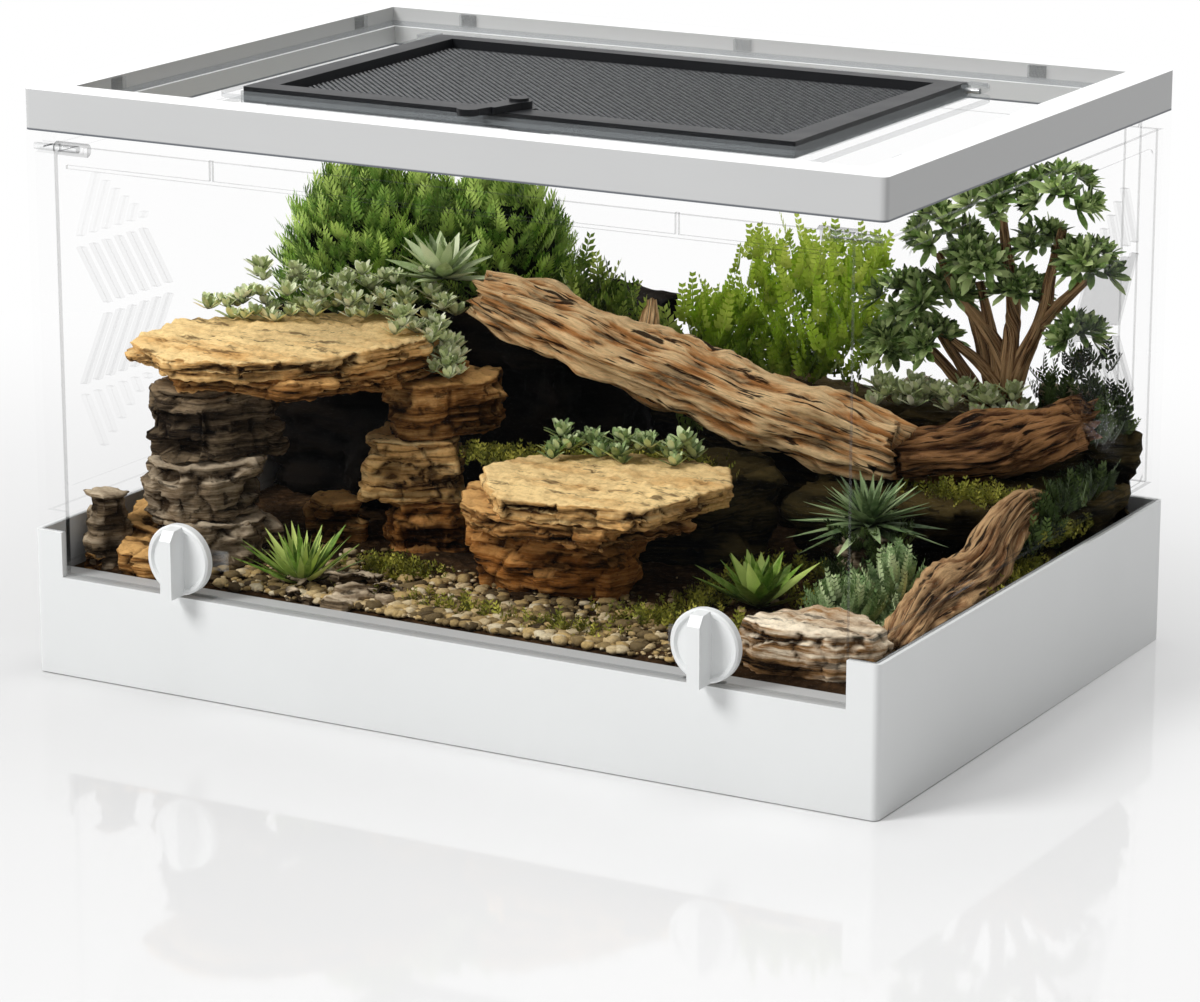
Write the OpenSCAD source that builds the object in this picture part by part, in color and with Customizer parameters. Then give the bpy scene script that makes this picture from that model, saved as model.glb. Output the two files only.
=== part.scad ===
// Reptile terrarium: a white tray, clear walls, a top-hinged front door, a rim with
// a mesh hatch, and a fixed landscape of stone, wood and plants.
// Origin: middle of the underside. X runs along the front, Y to the rear, Z up.

/* [Body] */
// Length of the tray along the front
body_w = 396; // [388:1:460]
// Depth of the tray from front to rear
body_d = 279; // [274:1:330]
// Height from the underside to the top of the rim
body_h = 250; // [245:1:300]

/* [Tray] */
// Height of the tray at its corners
tray_h = 62.5; // [56:0.5:68]
// Wall thickness of the tray
tray_wall = 3; // [2.5:0.1:3.5]
// Floor thickness of the tray
tray_floor = 3; // [2:0.1:5]
// Radius of the tray's upright corners
tray_corner_r = 3; // [1:0.5:5]
// Depth of the notch in the front wall, down to the ledge
notch_h = 19.5; // [17:0.5:22]
// Width of the full-height corner left beside the notch
post_w = 14; // [12:0.5:18]
// Depth of the ledge under the door, from the tray's outer face
ledge_d = 16; // [15:0.5:18]
// Thickness of the ledge
ledge_t = 3; // [2:0.1:4]

/* [Clear walls] */
// Thickness of the clear panels
glass_t = 2.5; // [2:0.1:3]
// Distance from the tray's outer face in to the panels' outer face
glass_inset = 1.5; // [1:0.1:2]
// Depth of the panel tongues inside the tray
tongue_down = 17.5; // [10:0.5:18]
// Height of the band that joins a tongue to its panel
tongue_lap = 8; // [4:0.5:12]
// Width of a panel's front and rear flange
flange_w = 13; // [12:0.5:16]
// Distance from the rim and the tray to the raised border
border_gap = 13; // [8:0.5:20]
// Distance from a panel's front and rear edge to the raised border
border_side = 20; // [18:0.5:30]
// Height of the raised border field above the panel
border_rise = 0.8; // [0.4:0.1:1.2]

/* [Vents] */
// Width of one vent slot
slot_w = 3; // [2:0.1:4]
// Number of slots across a vent band
slot_count = 6; // [3:1:6]
// Width of a vent band
vent_w = 54; // [46:1:60]
// Height of the vent column
vent_h = 128; // [110:1:134]
// Distance from the vent column's middle line to the panel's middle
vent_y = 72; // [60:1:76]
// Sideways lean of each middle vent band
vent_lean = 18; // [8:1:22]
// Height of the solid bridges between vent bands
vent_bridge = 5; // [4:0.5:8]

/* [Door] */
// Height of the door axis below the rim
hinge_drop = 7; // [6:0.5:10]
// Radius of the door pins
door_pin_r = 1.5; // [1.2:0.1:2]
// Distance from the tray's outer face in to the door's face
door_inset = 2; // [1.6:0.1:2.4]
// Gap between the door's bottom edge and the ledge
door_gap = 1; // [0.6:0.1:2]
// Gap at each side of the door
door_side_gap = 0.6; // [0.4:0.1:1]
// Height of the header band above the door's rib
header_h = 12; // [9:0.5:16]
// Distance from the middle to each upright rib in the header band
header_rib_x = 107; // [80:1:140]

/* [Knobs] */
// Radius of a knob disc
knob_r = 15; // [12:0.5:15.5]
// Thickness of a knob disc
knob_t = 4; // [3:0.1:5]
// Width of the grip bar
grip_w = 5.6; // [4:0.1:8]
// Height of the grip bar in front of the disc
grip_h = 8.5; // [6:0.1:10]
// Distance of each knob axis from the near side edge of the door
knob_in = 59.4; // [45:0.1:90]
// Height of the knob axis above the ledge
knob_rise = 16.5; // [16:0.1:17.5]
// Radius of the knob shaft
shaft_r = 4; // [3:0.1:5]
// Reach of a locking tongue from the knob axis
cam_reach = 19.5; // [18.6:0.1:21]
// Width of a locking tongue
cam_w = 8; // [6:0.5:10]

/* [Rim and lid] */
// Height of the rim
rim_h = 17; // [14:0.5:22]
// Width of the rim seen from above
rim_w = 15.5; // [13:0.5:18]
// Distance from the tray's outer face in to the rim's outer face
rim_inset = 1; // [0.5:0.1:1.3]
// Thickness of the rim's skirt
rim_skirt = 2.3; // [2:0.1:2.6]
// Thickness of the rim's inner wall
rim_inner = 2.5; // [2:0.1:3]
// Thickness of the rim's top
rim_top = 3.5; // [3:0.1:5]
// Depth of the lid plate's face below the rim's top
lid_drop = 6; // [5:0.5:8]
// Thickness of the lid plate
lid_t = 2.5; // [2:0.1:3]
// Height of the collar above the lid plate's face
collar_h = 2; // [1:0.1:3]
// Width of the collar around the hatch
collar_w = 8; // [7:0.5:12]
// Depth of the hatch seat below the lid plate's face
seat_drop = 3; // [2.6:0.1:3.4]
// Length of a snap clip
clip_l = 8; // [5:0.5:12]

/* [Hatch] */
// Width of the hatch along the front
hatch_w = 257; // [220:1:280]
// Depth of the hatch
hatch_d = 160; // [140:1:172]
// Thickness of the hatch frame
hatch_t = 6.6; // [6:0.1:7]
// Width of the hatch frame's members
hatch_bar = 11; // [10:0.5:14]
// Distance of the hatch's middle behind the lid's middle
hatch_shift = 1; // [-4:0.5:4]
// Mesh openings along the hatch
mesh_nx = 24; // [12:1:25]
// Mesh openings across the hatch
mesh_ny = 12; // [6:1:12]
// Thickness of the mesh wires
wire = 0.8; // [0.6:0.1:1.2]
// Radius of the hatch pins
hatch_pin_r = 1.25; // [1:0.05:1.5]

/* [Latch] */
// Distance of the latch pivot left of the middle
latch_x = 3; // [0:1:40]
// Distance of the latch pivot behind the hatch's front edge
latch_in = 13; // [12:0.5:14]
// Length of the lever from its pivot to its tip
lever_l = 31; // [24:1:34]
// Thickness of the lever
lever_t = 2.8; // [1.4:0.1:3.2]
// Radius of the latch pivot
latch_r = 2.5; // [2:0.1:3]
// Radius of the round cap on the lever
cap_r = 4; // [3:0.1:5]
// Height of the cap
cap_h = 1.2; // [0.8:0.1:2]

/* [Landscape] */
// Depth of the soil's face below the ledge
soil_drop = 2; // [1:0.5:6]
// Height of the pillar stones under the cave roof
cave_h = 77; // [70:1:84]
// Thickness of the lower roof slab
roof_lower_t = 9; // [6:0.5:12]
// Thickness of the upper roof slab
roof_upper_t = 10; // [6:0.5:12]
// Height of the rear bank on the left
bank_left_h = 91; // [80:1:100]
// Height of the rear bank on the right
bank_right_h = 59; // [50:1:66]
// Height of the foot stone under the middle slabs
foot_h = 31; // [26:1:36]
// Thickness of each middle slab
centre_slab_t = 10; // [7:0.5:13]
// Height of the bank that carries the logs
cradle_h = 34; // [30:1:38]
// Height of the stone under the middle agave
agave_step = 29; // [8:1:32]
// Radius of the driftwood log at its lower end
log_r = 16; // [14.5:0.5:18]

/* [Hidden] */

$fn = 48;
half_w = body_w / 2;
half_d = body_d / 2;
slack = 0.3;
seat = 0.15;
run_fit = 0.05;
eps = 0.01;

// Clear walls: outer faces, and the tongues that stand inside the tray and the rim
glass_x = half_w - glass_inset;
glass_y = half_d - glass_inset;
rim_x = half_w - rim_inset;
rim_y = half_d - rim_inset;
rim_z = body_h - rim_h;
tongue_x = min(half_w - tray_wall, rim_x - rim_skirt) - slack;
tongue_y = min(half_d - tray_wall, rim_y - rim_skirt) - slack;
tongue_top = body_h - rim_top;
tongue_z = tray_h - tongue_down;

// Ledge and door plane
ledge_z = tray_h - notch_h;
door_y = -half_d + door_inset;
door_x = glass_x - flange_w - door_side_gap;
knob_x = door_x - knob_in;
hinge_z = rim_z - hinge_drop;
hinge_y = door_y + glass_t;
knuckle_r = door_pin_r + 1.4;
knuckle_l = 15;
boss_r = door_pin_r + 1.2;
pin_in = 10;

// Knob stack, front to rear
knob_z = ledge_z + knob_rise;
knob_y = door_y - 0.4;
cam_t = 2;
cam_y = door_y + glass_t + slack;
cam_slot_y = cam_y - 0.6;
cam_slot_back = cam_y + cam_t + 1.8;
channel_y = -half_d + ledge_d - tray_wall;
spigot = 5;
screw_r = 1.2;

// Lid, collar and hatch
lid_z = body_h - lid_drop;
lid_x = rim_x - rim_w - 0.3;
lid_y = rim_y - rim_w - 0.3;
lip = 2;
seat_z = lid_z - seat_drop;
seat_t = 2;
hatch_z = seat_z + seat;
hatch_top = hatch_z + hatch_t;
hatch_front = hatch_shift - hatch_d / 2;
hatch_back = hatch_shift + hatch_d / 2;
hatch_axis_y = hatch_back - hatch_t / 2;
hatch_axis_z = hatch_z + hatch_t / 2;
pocket_gap = 0.6;
rebate = 4;
mesh_w = hatch_w - 2 * hatch_bar;
mesh_d = hatch_d - 2 * hatch_bar;
mesh_z = hatch_z + 1.7;
latch_y = hatch_front + latch_in;
latch_pad = 7;
tongue_t = 1.8;
tongue_low = seat_z - seat_t - slack - tongue_t;
lug_l = 12;

// Space that the landscape may fill
in_x = tongue_x - glass_t - slack;
in_front = channel_y + tray_wall + slack;
in_back = glass_y - 2 * glass_t - slack;
soil_z = ledge_z - soil_drop;
roof_z = soil_z + cave_h;
deck_z = roof_z + roof_lower_t + roof_upper_t;
bank_left_z = soil_z + bank_left_h;
bank_right_z = soil_z + bank_right_h;
slab_z = soil_z + foot_h;
terrace_z = slab_z + 2 * centre_slab_t;

// The landscape is laid out in a plan of this size, and follows the real inside of the tank
plan_x = 191.6;
plan_front = -123.2;
plan_back = 132.7;
wide = in_x / plan_x;
deep = (in_back - in_front) / (plan_back - plan_front);
girth = min(wide, deep);

function spot(p) = [p[0] * wide, in_front + (p[1] - plan_front) * deep, p[2]];
function outline(points) = [
    for (p = points)
        [p[0] * wide, in_front + (p[1] - plan_front) * deep]
];

// Plan shapes

module rounded_plate(w, d, r) {
    hull_free_r = min(r, w / 2 - 1, d / 2 - 1);
    union() {
        square([w - 2 * hull_free_r, d], center = true);
        square([w, d - 2 * hull_free_r], center = true);
        for (sx = [-1, 1])
            for (sy = [-1, 1])
                translate([sx * (w / 2 - hull_free_r), sy * (d / 2 - hull_free_r)])
                    circle(r = hull_free_r);
    }
}

module slab_box(low, high) {
    translate(low)
        cube(high - low);
}

module rod_x(x0, x1, y, z, r) {
    translate([x0, y, z])
        rotate([0, 90, 0])
            cylinder(r = r, h = x1 - x0);
}

module rod_y(x, y0, y1, z, r) {
    translate([x, y0, z])
        rotate([-90, 0, 0])
            cylinder(r = r, h = y1 - y0);
}

// Enclosure

module base_tray() {
    color("white")
        difference() {
            linear_extrude(tray_h)
                rounded_plate(body_w, body_d, tray_corner_r);
            // Inside of the tray behind the front channel
            slab_box([-half_w + tray_wall, channel_y + tray_wall, tray_floor],
                     [half_w - tray_wall, half_d - tray_wall, tray_h + 1]);
            // Space above the ledge
            slab_box([-half_w + tray_wall, -half_d + tray_wall, ledge_z],
                     [half_w - tray_wall, channel_y + tray_wall + eps, tray_h + 1]);
            // Notch in the front wall
            slab_box([-half_w + post_w, -half_d - 1, ledge_z],
                     [half_w - post_w, -half_d + tray_wall + 1, tray_h + 1]);
            // Channel under the ledge, open below
            slab_box([-half_w + tray_wall, -half_d + tray_wall, -1],
                     [half_w - tray_wall, channel_y, ledge_z - ledge_t]);
            for (s = [-1, 1])
                cam_slot(s);
        }
}

module cam_slot(s) {
    corner = sqrt(cam_reach * cam_reach + cam_w * cam_w / 4) + 0.6;
    sweep = sqrt(corner * corner - knob_rise * knob_rise) + 1;
    inner = knob_x - sweep;
    outer = knob_x + cam_w / 2 + 1;
    slab_box([min(s * inner, s * outer), cam_slot_y, ledge_z - ledge_t - 1],
             [max(s * inner, s * outer), cam_slot_back, ledge_z + 1]);
}

// One vent slot: a parallelogram from [y0, z0] up to [y1, z1]
module vent_slot(y0, z0, y1, z1) {
    polygon([[y0 - slot_w / 2, z0], [y0 + slot_w / 2, z0],
             [y1 + slot_w / 2, z1], [y1 - slot_w / 2, z1]]);
}

// Vent column in panel coordinates: y across, z up, zero at its lower tip
module vent_column() {
    band = vent_h / 4;
    pitch = vent_w / slot_count;
    for (i = [0 : slot_count - 1]) {
        y = (i + 0.5) * pitch - vent_w / 2;
        share = (i + 0.5) / slot_count;
        tip = share * (band - vent_bridge);
        // Upper and lower triangles, and the two leaning bands between them
        vent_slot(y + vent_lean / 2, 3 * band + vent_bridge / 2,
                  y + vent_lean / 2 - tip * 0.5, 3 * band + vent_bridge / 2 + tip);
        vent_slot(y - vent_lean / 2, 2 * band + vent_bridge / 2,
                  y + vent_lean / 2, 3 * band - vent_bridge / 2);
        vent_slot(y + vent_lean / 2, band + vent_bridge / 2,
                  y - vent_lean / 2, 2 * band - vent_bridge / 2);
        vent_slot(y + vent_lean / 2 - tip * 0.5, band - vent_bridge / 2 - tip,
                  y + vent_lean / 2, band - vent_bridge / 2);
    }
}

// Side wall for +X with its vents towards the rear; the left one is turned half round
module side_wall(vent_side) {
    border_low = tray_h + border_gap;
    border_high = rim_z - border_gap;
    vent_z = (tray_h + rim_z) / 2 - vent_h / 2;
    difference() {
        union() {
            slab_box([glass_x - glass_t, -glass_y, tray_h], [glass_x, glass_y, rim_z]);
            for (s = [-1, 1]) {
                slab_box([glass_x - flange_w, min(s * glass_y, s * (glass_y - glass_t)), tray_h],
                         [glass_x, max(s * glass_y, s * (glass_y - glass_t)), rim_z]);
                flange_tongue(s, tongue_z, tray_h + tongue_lap);
                flange_tongue(s, rim_z - tongue_lap, tongue_top);
            }
            slab_box([tongue_x - glass_t, -tongue_y, tongue_z],
                     [tongue_x, tongue_y, tray_h + tongue_lap]);
            slab_box([tongue_x - glass_t, -tongue_y, rim_z - tongue_lap],
                     [tongue_x, tongue_y, tongue_top]);
            slab_box([tongue_x - eps, -tongue_y, tray_h],
                     [glass_x - eps, tongue_y, tray_h + tongue_lap]);
            slab_box([tongue_x - eps, -tongue_y, rim_z - tongue_lap],
                     [glass_x - eps, tongue_y, rim_z]);
            // Raised border field
            translate([glass_x - eps, 0, (border_low + border_high) / 2])
                rotate([90, 0, 90])
                    linear_extrude(border_rise + eps)
                        rounded_plate(2 * (glass_y - border_side), border_high - border_low, 5);
            // Door hinge boss
            rod_x(door_x + door_side_gap, glass_x - eps, hinge_y, hinge_z, boss_r);
        }
        translate([glass_x - glass_t - 1, vent_side * vent_y, vent_z])
            rotate([90, 0, 90])
                linear_extrude(glass_t + border_rise + 2)
                    scale([vent_side, 1])
                        vent_column();
        rod_x(door_x, glass_x - glass_t, hinge_y, hinge_z, door_pin_r + 0.02);
    }
}

module flange_tongue(s, z0, z1) {
    far = s * (tongue_y + eps);
    near = s * (tongue_y - glass_t);
    slab_box([glass_x - flange_w + 0.5, min(far, near), z0], [tongue_x, max(far, near), z1]);
    joint_far = s * (glass_y - eps);
    slab_box([glass_x - flange_w + 0.5, min(joint_far, near), max(z0, tray_h)],
             [tongue_x, max(joint_far, near), min(z1, rim_z)]);
}

module left_panel() {
    color([0.9, 0.95, 0.97, 0.3])
        mirror([1, 0, 0])
            side_wall(-1);
}

module right_panel() {
    color([0.9, 0.95, 0.97, 0.3])
        side_wall(1);
}

// Rear wall: its two side strips lap the rear flanges from inside
module back_panel() {
    edge_x = glass_x - flange_w - slack;
    lap_y = glass_y - glass_t;
    lap_low = tray_h + tongue_lap + slack;
    lap_high = rim_z - tongue_lap - slack;
    color([0.9, 0.95, 0.97, 0.3]) {
        slab_box([-edge_x, lap_y, tray_h], [edge_x, glass_y, rim_z]);
        for (z = [[tongue_z, tray_h + tongue_lap], [rim_z - tongue_lap, tongue_top]])
            slab_box([-edge_x, tongue_y - glass_t, z[0]], [edge_x, tongue_y, z[1]]);
        for (s = [-1, 1])
            slab_box([min(s * (edge_x - 6), s * in_x), lap_y - glass_t, lap_low],
                     [max(s * (edge_x - 6), s * in_x), lap_y, lap_high]);
    }
}

module front_door() {
    rib_z = hinge_z - header_h + door_pin_r + 2;
    rib = 1.5;
    door_top = hinge_z + door_pin_r;
    color([0.9, 0.95, 0.97, 0.3])
        difference() {
            union() {
                slab_box([-door_x, door_y, ledge_z + door_gap], [door_x, door_y + glass_t, door_top]);
                slab_box([-door_x + 4, door_y + glass_t - eps, rib_z],
                         [door_x - 4, door_y + glass_t + rib, rib_z + rib]);
                for (s = [-1, 1]) {
                    slab_box([s * header_rib_x - rib / 2, door_y + glass_t - eps, rib_z],
                             [s * header_rib_x + rib / 2, door_y + glass_t + rib, door_top]);
                    rod_x(s > 0 ? door_x - knuckle_l : -door_x, s > 0 ? door_x : -door_x + knuckle_l,
                          hinge_y, hinge_z, knuckle_r);
                }
            }
            for (s = [-1, 1]) {
                rod_x(s > 0 ? door_x - pin_in - 0.5 : -door_x - 1,
                      s > 0 ? door_x + 1 : -door_x + pin_in + 0.5,
                      hinge_y, hinge_z, door_pin_r + run_fit);
                rod_y(s * knob_x, door_y - 1, door_y + glass_t + 1, knob_z, shaft_r + run_fit);
            }
        }
}

module door_pins() {
    pin_far = glass_x - glass_t;
    color([0.9, 0.95, 0.97, 0.3])
        for (s = [-1, 1])
            rod_x(s > 0 ? door_x - pin_in : -pin_far, s > 0 ? pin_far : -door_x + pin_in,
                  hinge_y, hinge_z, door_pin_r);
}

// Knob at the origin, axis along Y, front towards -Y
module knob() {
    dish_r = knob_r - 2;
    dish = 1.2;
    chamfer = 0.8;
    difference() {
        union() {
            rotate([90, 0, 0])
                rotate_extrude()
                    polygon([[0, 0], [knob_r, 0], [knob_r, knob_t - chamfer],
                             [knob_r - chamfer, knob_t], [dish_r, knob_t],
                             [dish_r - chamfer, knob_t - dish], [0, knob_t - dish]]);
            // Grip bar with a sloped upper end
            translate([-grip_w / 2, 0, 0])
                rotate([90, 0, 90])
                    linear_extrude(grip_w)
                        polygon([[-knob_t + dish + eps, -knob_r + 0.2],
                                 [-knob_t - grip_h, -knob_r + 0.2],
                                 [-knob_t - grip_h, knob_r - 5],
                                 [-knob_t - grip_h + 3, knob_r - 1],
                                 [-knob_t + dish + eps, knob_r - 0.4]]);
            rod_y(0, -eps, cam_y - knob_y, 0, shaft_r);
            slab_box([-spigot / 2, 0, -spigot / 2], [spigot / 2, cam_y + cam_t - knob_y, spigot / 2]);
        }
        rod_y(0, cam_y - knob_y - 5, cam_y + cam_t + 1 - knob_y, 0, screw_r);
    }
}

module knob_left() {
    color("white")
        translate([-knob_x, knob_y, knob_z])
            knob();
}

module knob_right() {
    color("white")
        translate([knob_x, knob_y, knob_z])
            knob();
}

// Locking tongue, pointing towards the middle of the door at rest
module cam(s) {
    translate([s * knob_x, cam_y, knob_z])
        rotate([-90, 0, 0])
            linear_extrude(cam_t)
                difference() {
                    union() {
                        circle(r = cam_w / 2 + 1);
                        translate([s > 0 ? -cam_reach : 0, -cam_w / 2])
                            square([cam_reach, cam_w]);
                    }
                    square(spigot, center = true);
                }
}

module cam_left() {
    color([0.9, 0.95, 0.97, 0.3])
        cam(-1);
}

module cam_right() {
    color([0.9, 0.95, 0.97, 0.3])
        cam(1);
}

module cam_screw(s) {
    head_y = cam_y + cam_t;
    color("silver") {
        rod_y(s * knob_x, head_y - 5, head_y + eps, knob_z, screw_r - 0.05);
        rod_y(s * knob_x, head_y, head_y + 1.4, knob_z, spigot / 2 + 1);
    }
}

module cam_screw_left() {
    cam_screw(-1);
}

module cam_screw_right() {
    cam_screw(1);
}

module top_frame() {
    inner_w = 2 * (rim_x - rim_w);
    inner_d = 2 * (rim_y - rim_w);
    color("gainsboro")
        difference() {
            translate([0, 0, rim_z])
                linear_extrude(rim_h)
                    rounded_plate(2 * rim_x, 2 * rim_y, tray_corner_r);
            // Opening over the lid plate, and the narrower one under it
            slab_box([-inner_w / 2, -inner_d / 2, lid_z - lid_t],
                     [inner_w / 2, inner_d / 2, body_h + 1]);
            slab_box([-inner_w / 2 + lip, -inner_d / 2 + lip, rim_z - 1],
                     [inner_w / 2 - lip, inner_d / 2 - lip, body_h]);
            // Groove that takes the wall tops
            difference() {
                slab_box([-rim_x + rim_skirt, -rim_y + rim_skirt, rim_z - 1],
                         [rim_x - rim_skirt, rim_y - rim_skirt, tongue_top]);
                slab_box([-inner_w / 2 - rim_inner, -inner_d / 2 - rim_inner, rim_z - 2],
                         [inner_w / 2 + rim_inner, inner_d / 2 + rim_inner, tongue_top + 1]);
            }
        }
}

module lid_plate() {
    open_w = mesh_w + 2 * rebate;
    open_d = mesh_d + 2 * rebate;
    pocket_w = hatch_w + 2 * pocket_gap;
    pocket_d = hatch_d + 2 * pocket_gap;
    lug_x = pocket_w / 2;
    color([0.9, 0.95, 0.97, 0.3])
        difference() {
            union() {
                translate([0, 0, lid_z - lid_t])
                    linear_extrude(lid_t)
                        square([2 * lid_x, 2 * lid_y], center = true);
                translate([0, hatch_shift, seat_z - seat_t])
                    linear_extrude(lid_z + collar_h - seat_z + seat_t)
                        rounded_plate(pocket_w + 2 * collar_w, pocket_d + 2 * collar_w, collar_w);
                for (s = [-1, 1])
                    slab_box([min(s * lug_x, s * (lug_x + collar_w)), hatch_axis_y - lug_l / 2,
                              seat_z],
                             [max(s * lug_x, s * (lug_x + collar_w)), hatch_axis_y + hatch_t / 2,
                              hatch_top]);
            }
            translate([0, hatch_shift, seat_z])
                linear_extrude(hatch_t + 1)
                    square([pocket_w, pocket_d], center = true);
            translate([0, hatch_shift, seat_z - seat_t - 1])
                linear_extrude(seat_t + 2)
                    square([open_w, open_d], center = true);
            rod_x(-lug_x - collar_w + 2, lug_x + collar_w - 2, hatch_axis_y, hatch_axis_z,
                  hatch_pin_r + 0.02);
        }
}

module snap_clips() {
    clip_t = 2;
    clip_top = body_h - 0.6;
    x_in = lid_x + 0.3;
    y_in = lid_y + 0.3;
    color("white") {
        for (x = [-141, 0, 141])
            for (s = [-1, 1])
                slab_box([x - clip_l / 2, min(s * y_in, s * (y_in - clip_t)), lid_z],
                         [x + clip_l / 2, max(s * y_in, s * (y_in - clip_t)), clip_top]);
        for (y = [-94, 94])
            for (s = [-1, 1])
                slab_box([min(s * x_in, s * (x_in - clip_t)), y - clip_l / 2, lid_z],
                         [max(s * x_in, s * (x_in - clip_t)), y + clip_l / 2, clip_top]);
    }
}

module mesh_frame() {
    edge_r = hatch_t / 2;
    color([0.16, 0.17, 0.19])
        difference() {
            union() {
                translate([0, hatch_shift - edge_r / 2, hatch_z])
                    linear_extrude(hatch_t)
                        difference() {
                            rounded_plate(hatch_w, hatch_d - edge_r, 1);
                            translate([0, edge_r / 2])
                                square([mesh_w, mesh_d], center = true);
                        }
                rod_x(-hatch_w / 2, hatch_w / 2, hatch_axis_y, hatch_axis_z, edge_r);
                // Pad for the latch pivot
                translate([-latch_x - latch_pad, latch_y - latch_in + 1, hatch_z])
                    cube([2 * latch_pad, latch_in - 1, hatch_t]);
                translate([-latch_x, latch_y, hatch_z])
                    cylinder(r = latch_pad, h = hatch_t);
            }
            // Rebate for the mesh and its ring
            translate([0, hatch_shift, hatch_z - 1])
                linear_extrude(mesh_z + wire - hatch_z + 1)
                    square([mesh_w + 2 * rebate - 1, mesh_d + 2 * rebate - 1], center = true);
            rod_x(-hatch_w / 2 - 1, -hatch_w / 2 + 8.5, hatch_axis_y, hatch_axis_z,
                  hatch_pin_r + run_fit);
            rod_x(hatch_w / 2 - 8.5, hatch_w / 2 + 1, hatch_axis_y, hatch_axis_z,
                  hatch_pin_r + run_fit);
            translate([-latch_x, latch_y, hatch_z - 1])
                cylinder(r = latch_r + run_fit, h = hatch_t + 2);
        }
}

module mesh_screen() {
    w = mesh_w + 2 * rebate - 1.4;
    d = mesh_d + 2 * rebate - 1.4;
    pitch_x = mesh_w / mesh_nx;
    pitch_y = mesh_d / mesh_ny;
    color([0.1, 0.1, 0.11])
        translate([0, hatch_shift, mesh_z])
            linear_extrude(wire)
                difference() {
                    square([w, d], center = true);
                    for (i = [0 : mesh_nx - 1])
                        for (j = [0 : mesh_ny - 1])
                            translate([(i + 0.5) * pitch_x - mesh_w / 2,
                                       (j + 0.5) * pitch_y - mesh_d / 2])
                                square([pitch_x - wire, pitch_y - wire], center = true);
                    translate([-latch_x, latch_y - hatch_shift])
                        circle(r = latch_r + 0.6);
                }
}

module mesh_retainer() {
    color([0.12, 0.12, 0.13])
        translate([0, hatch_shift, hatch_z + 0.2])
            linear_extrude(mesh_z - hatch_z - 0.2)
                difference() {
                    square([mesh_w + 2 * rebate - 1.4, mesh_d + 2 * rebate - 1.4], center = true);
                    square([mesh_w, mesh_d], center = true);
                    translate([-latch_x, latch_y - hatch_shift])
                        circle(r = latch_r + 0.6);
                }
}

module hatch_pins() {
    far = hatch_w / 2 + pocket_gap + collar_w - 2;
    near = hatch_w / 2 - 8;
    color("silver")
        for (s = [-1, 1])
            rod_x(s > 0 ? near : -far, s > 0 ? far : -near, hatch_axis_y, hatch_axis_z, hatch_pin_r);
}

// Curved lever over the front of the hatch, with its shaft
module latch_lever() {
    tip_r = 5;
    root_r = 5.5;
    bend = 14;
    color([0.08, 0.08, 0.09])
        translate([-latch_x, latch_y, 0]) {
            translate([0, 0, hatch_top + seat])
                linear_extrude(lever_t)
                    union() {
                        circle(r = root_r);
                        rotate(-90 - bend)
                            translate([0, -root_r + 1])
                                square([lever_l * 0.6, 2 * root_r - 2]);
                        rotate(-90 - bend * 1.4)
                            translate([lever_l * 0.5, -tip_r + 0.4])
                                square([lever_l * 0.5 - tip_r, 2 * tip_r - 0.8]);
                        rotate(-90 - bend * 1.4)
                            translate([lever_l - tip_r, 0])
                                circle(r = tip_r);
                    }
            translate([0, 0, tongue_low])
                cylinder(r = latch_r, h = hatch_top + seat - tongue_low + eps);
        }
}

module latch_cap() {
    cap_z = hatch_top + seat + lever_t;
    color([0.2, 0.2, 0.22])
        translate([-latch_x, latch_y, cap_z])
            cylinder(r = cap_r, h = cap_h);
}

// Tongue under the hatch seat; at rest it points along the hatch, clear of the seat
module latch_tongue() {
    color([0.08, 0.08, 0.09])
        translate([-latch_x, latch_y, tongue_low])
            linear_extrude(tongue_t)
                difference() {
                    union() {
                        circle(r = latch_r + 2);
                        translate([0, -latch_r])
                            square([latch_in, 2 * latch_r]);
                    }
                    circle(r = latch_r);
                }
}

// Landscape shapes

// Outline of a rough stone, from a few sine waves round an ellipse
function blob(rx, ry, seed, n = 11) = [
    for (i = [0 : n - 1])
        let (a = 360 * i / n, r = 1 + 0.07 * sin(3 * a + seed) + 0.05 * sin(5 * a + 2.3 * seed))
            [r * rx * cos(a), r * ry * sin(a)]
];

// Stone with a narrower foot and top; p is the middle of its underside
module stone(p, rx, ry, t, seed, turn = 0) {
    plan = blob(rx * girth, ry * girth, seed);
    translate(spot(p))
        rotate(turn) {
            linear_extrude(t * 0.4)
                scale(0.9)
                    polygon(plan);
            translate([0, 0, t * 0.25])
                linear_extrude(t * 0.5)
                    polygon(plan);
            linear_extrude(t)
                scale(0.92)
                    polygon(plan);
        }
}

// Flat slab from a plan outline, with a slimmer underside
module ledge_slab(p, pts, t) {
    translate(spot(p)) {
        linear_extrude(t)
            scale([0.95 * wide, 0.95 * deep])
                polygon(pts);
        translate([0, 0, t * 0.35])
            linear_extrude(t * 0.65)
                scale([wide, deep])
                    polygon(pts);
    }
}

// Round limb between two points of the tank
module limb(a, b, r0, r1) {
    d = b - a;
    translate(a)
        rotate([0, acos(d[2] / norm(d)), atan2(d[1], d[0])])
            cylinder(r1 = r0 * girth, r2 = r1 * girth, h = norm(d));
}

// Low mound of leaves
module mound(p, r, h) {
    w = r * girth;
    translate(spot(p))
        rotate_extrude()
            polygon([[0, 0], [w * 0.8, 0], [w, h * 0.3], [w * 0.92, h * 0.62],
                     [w * 0.62, h * 0.9], [0, h]]);
}

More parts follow.
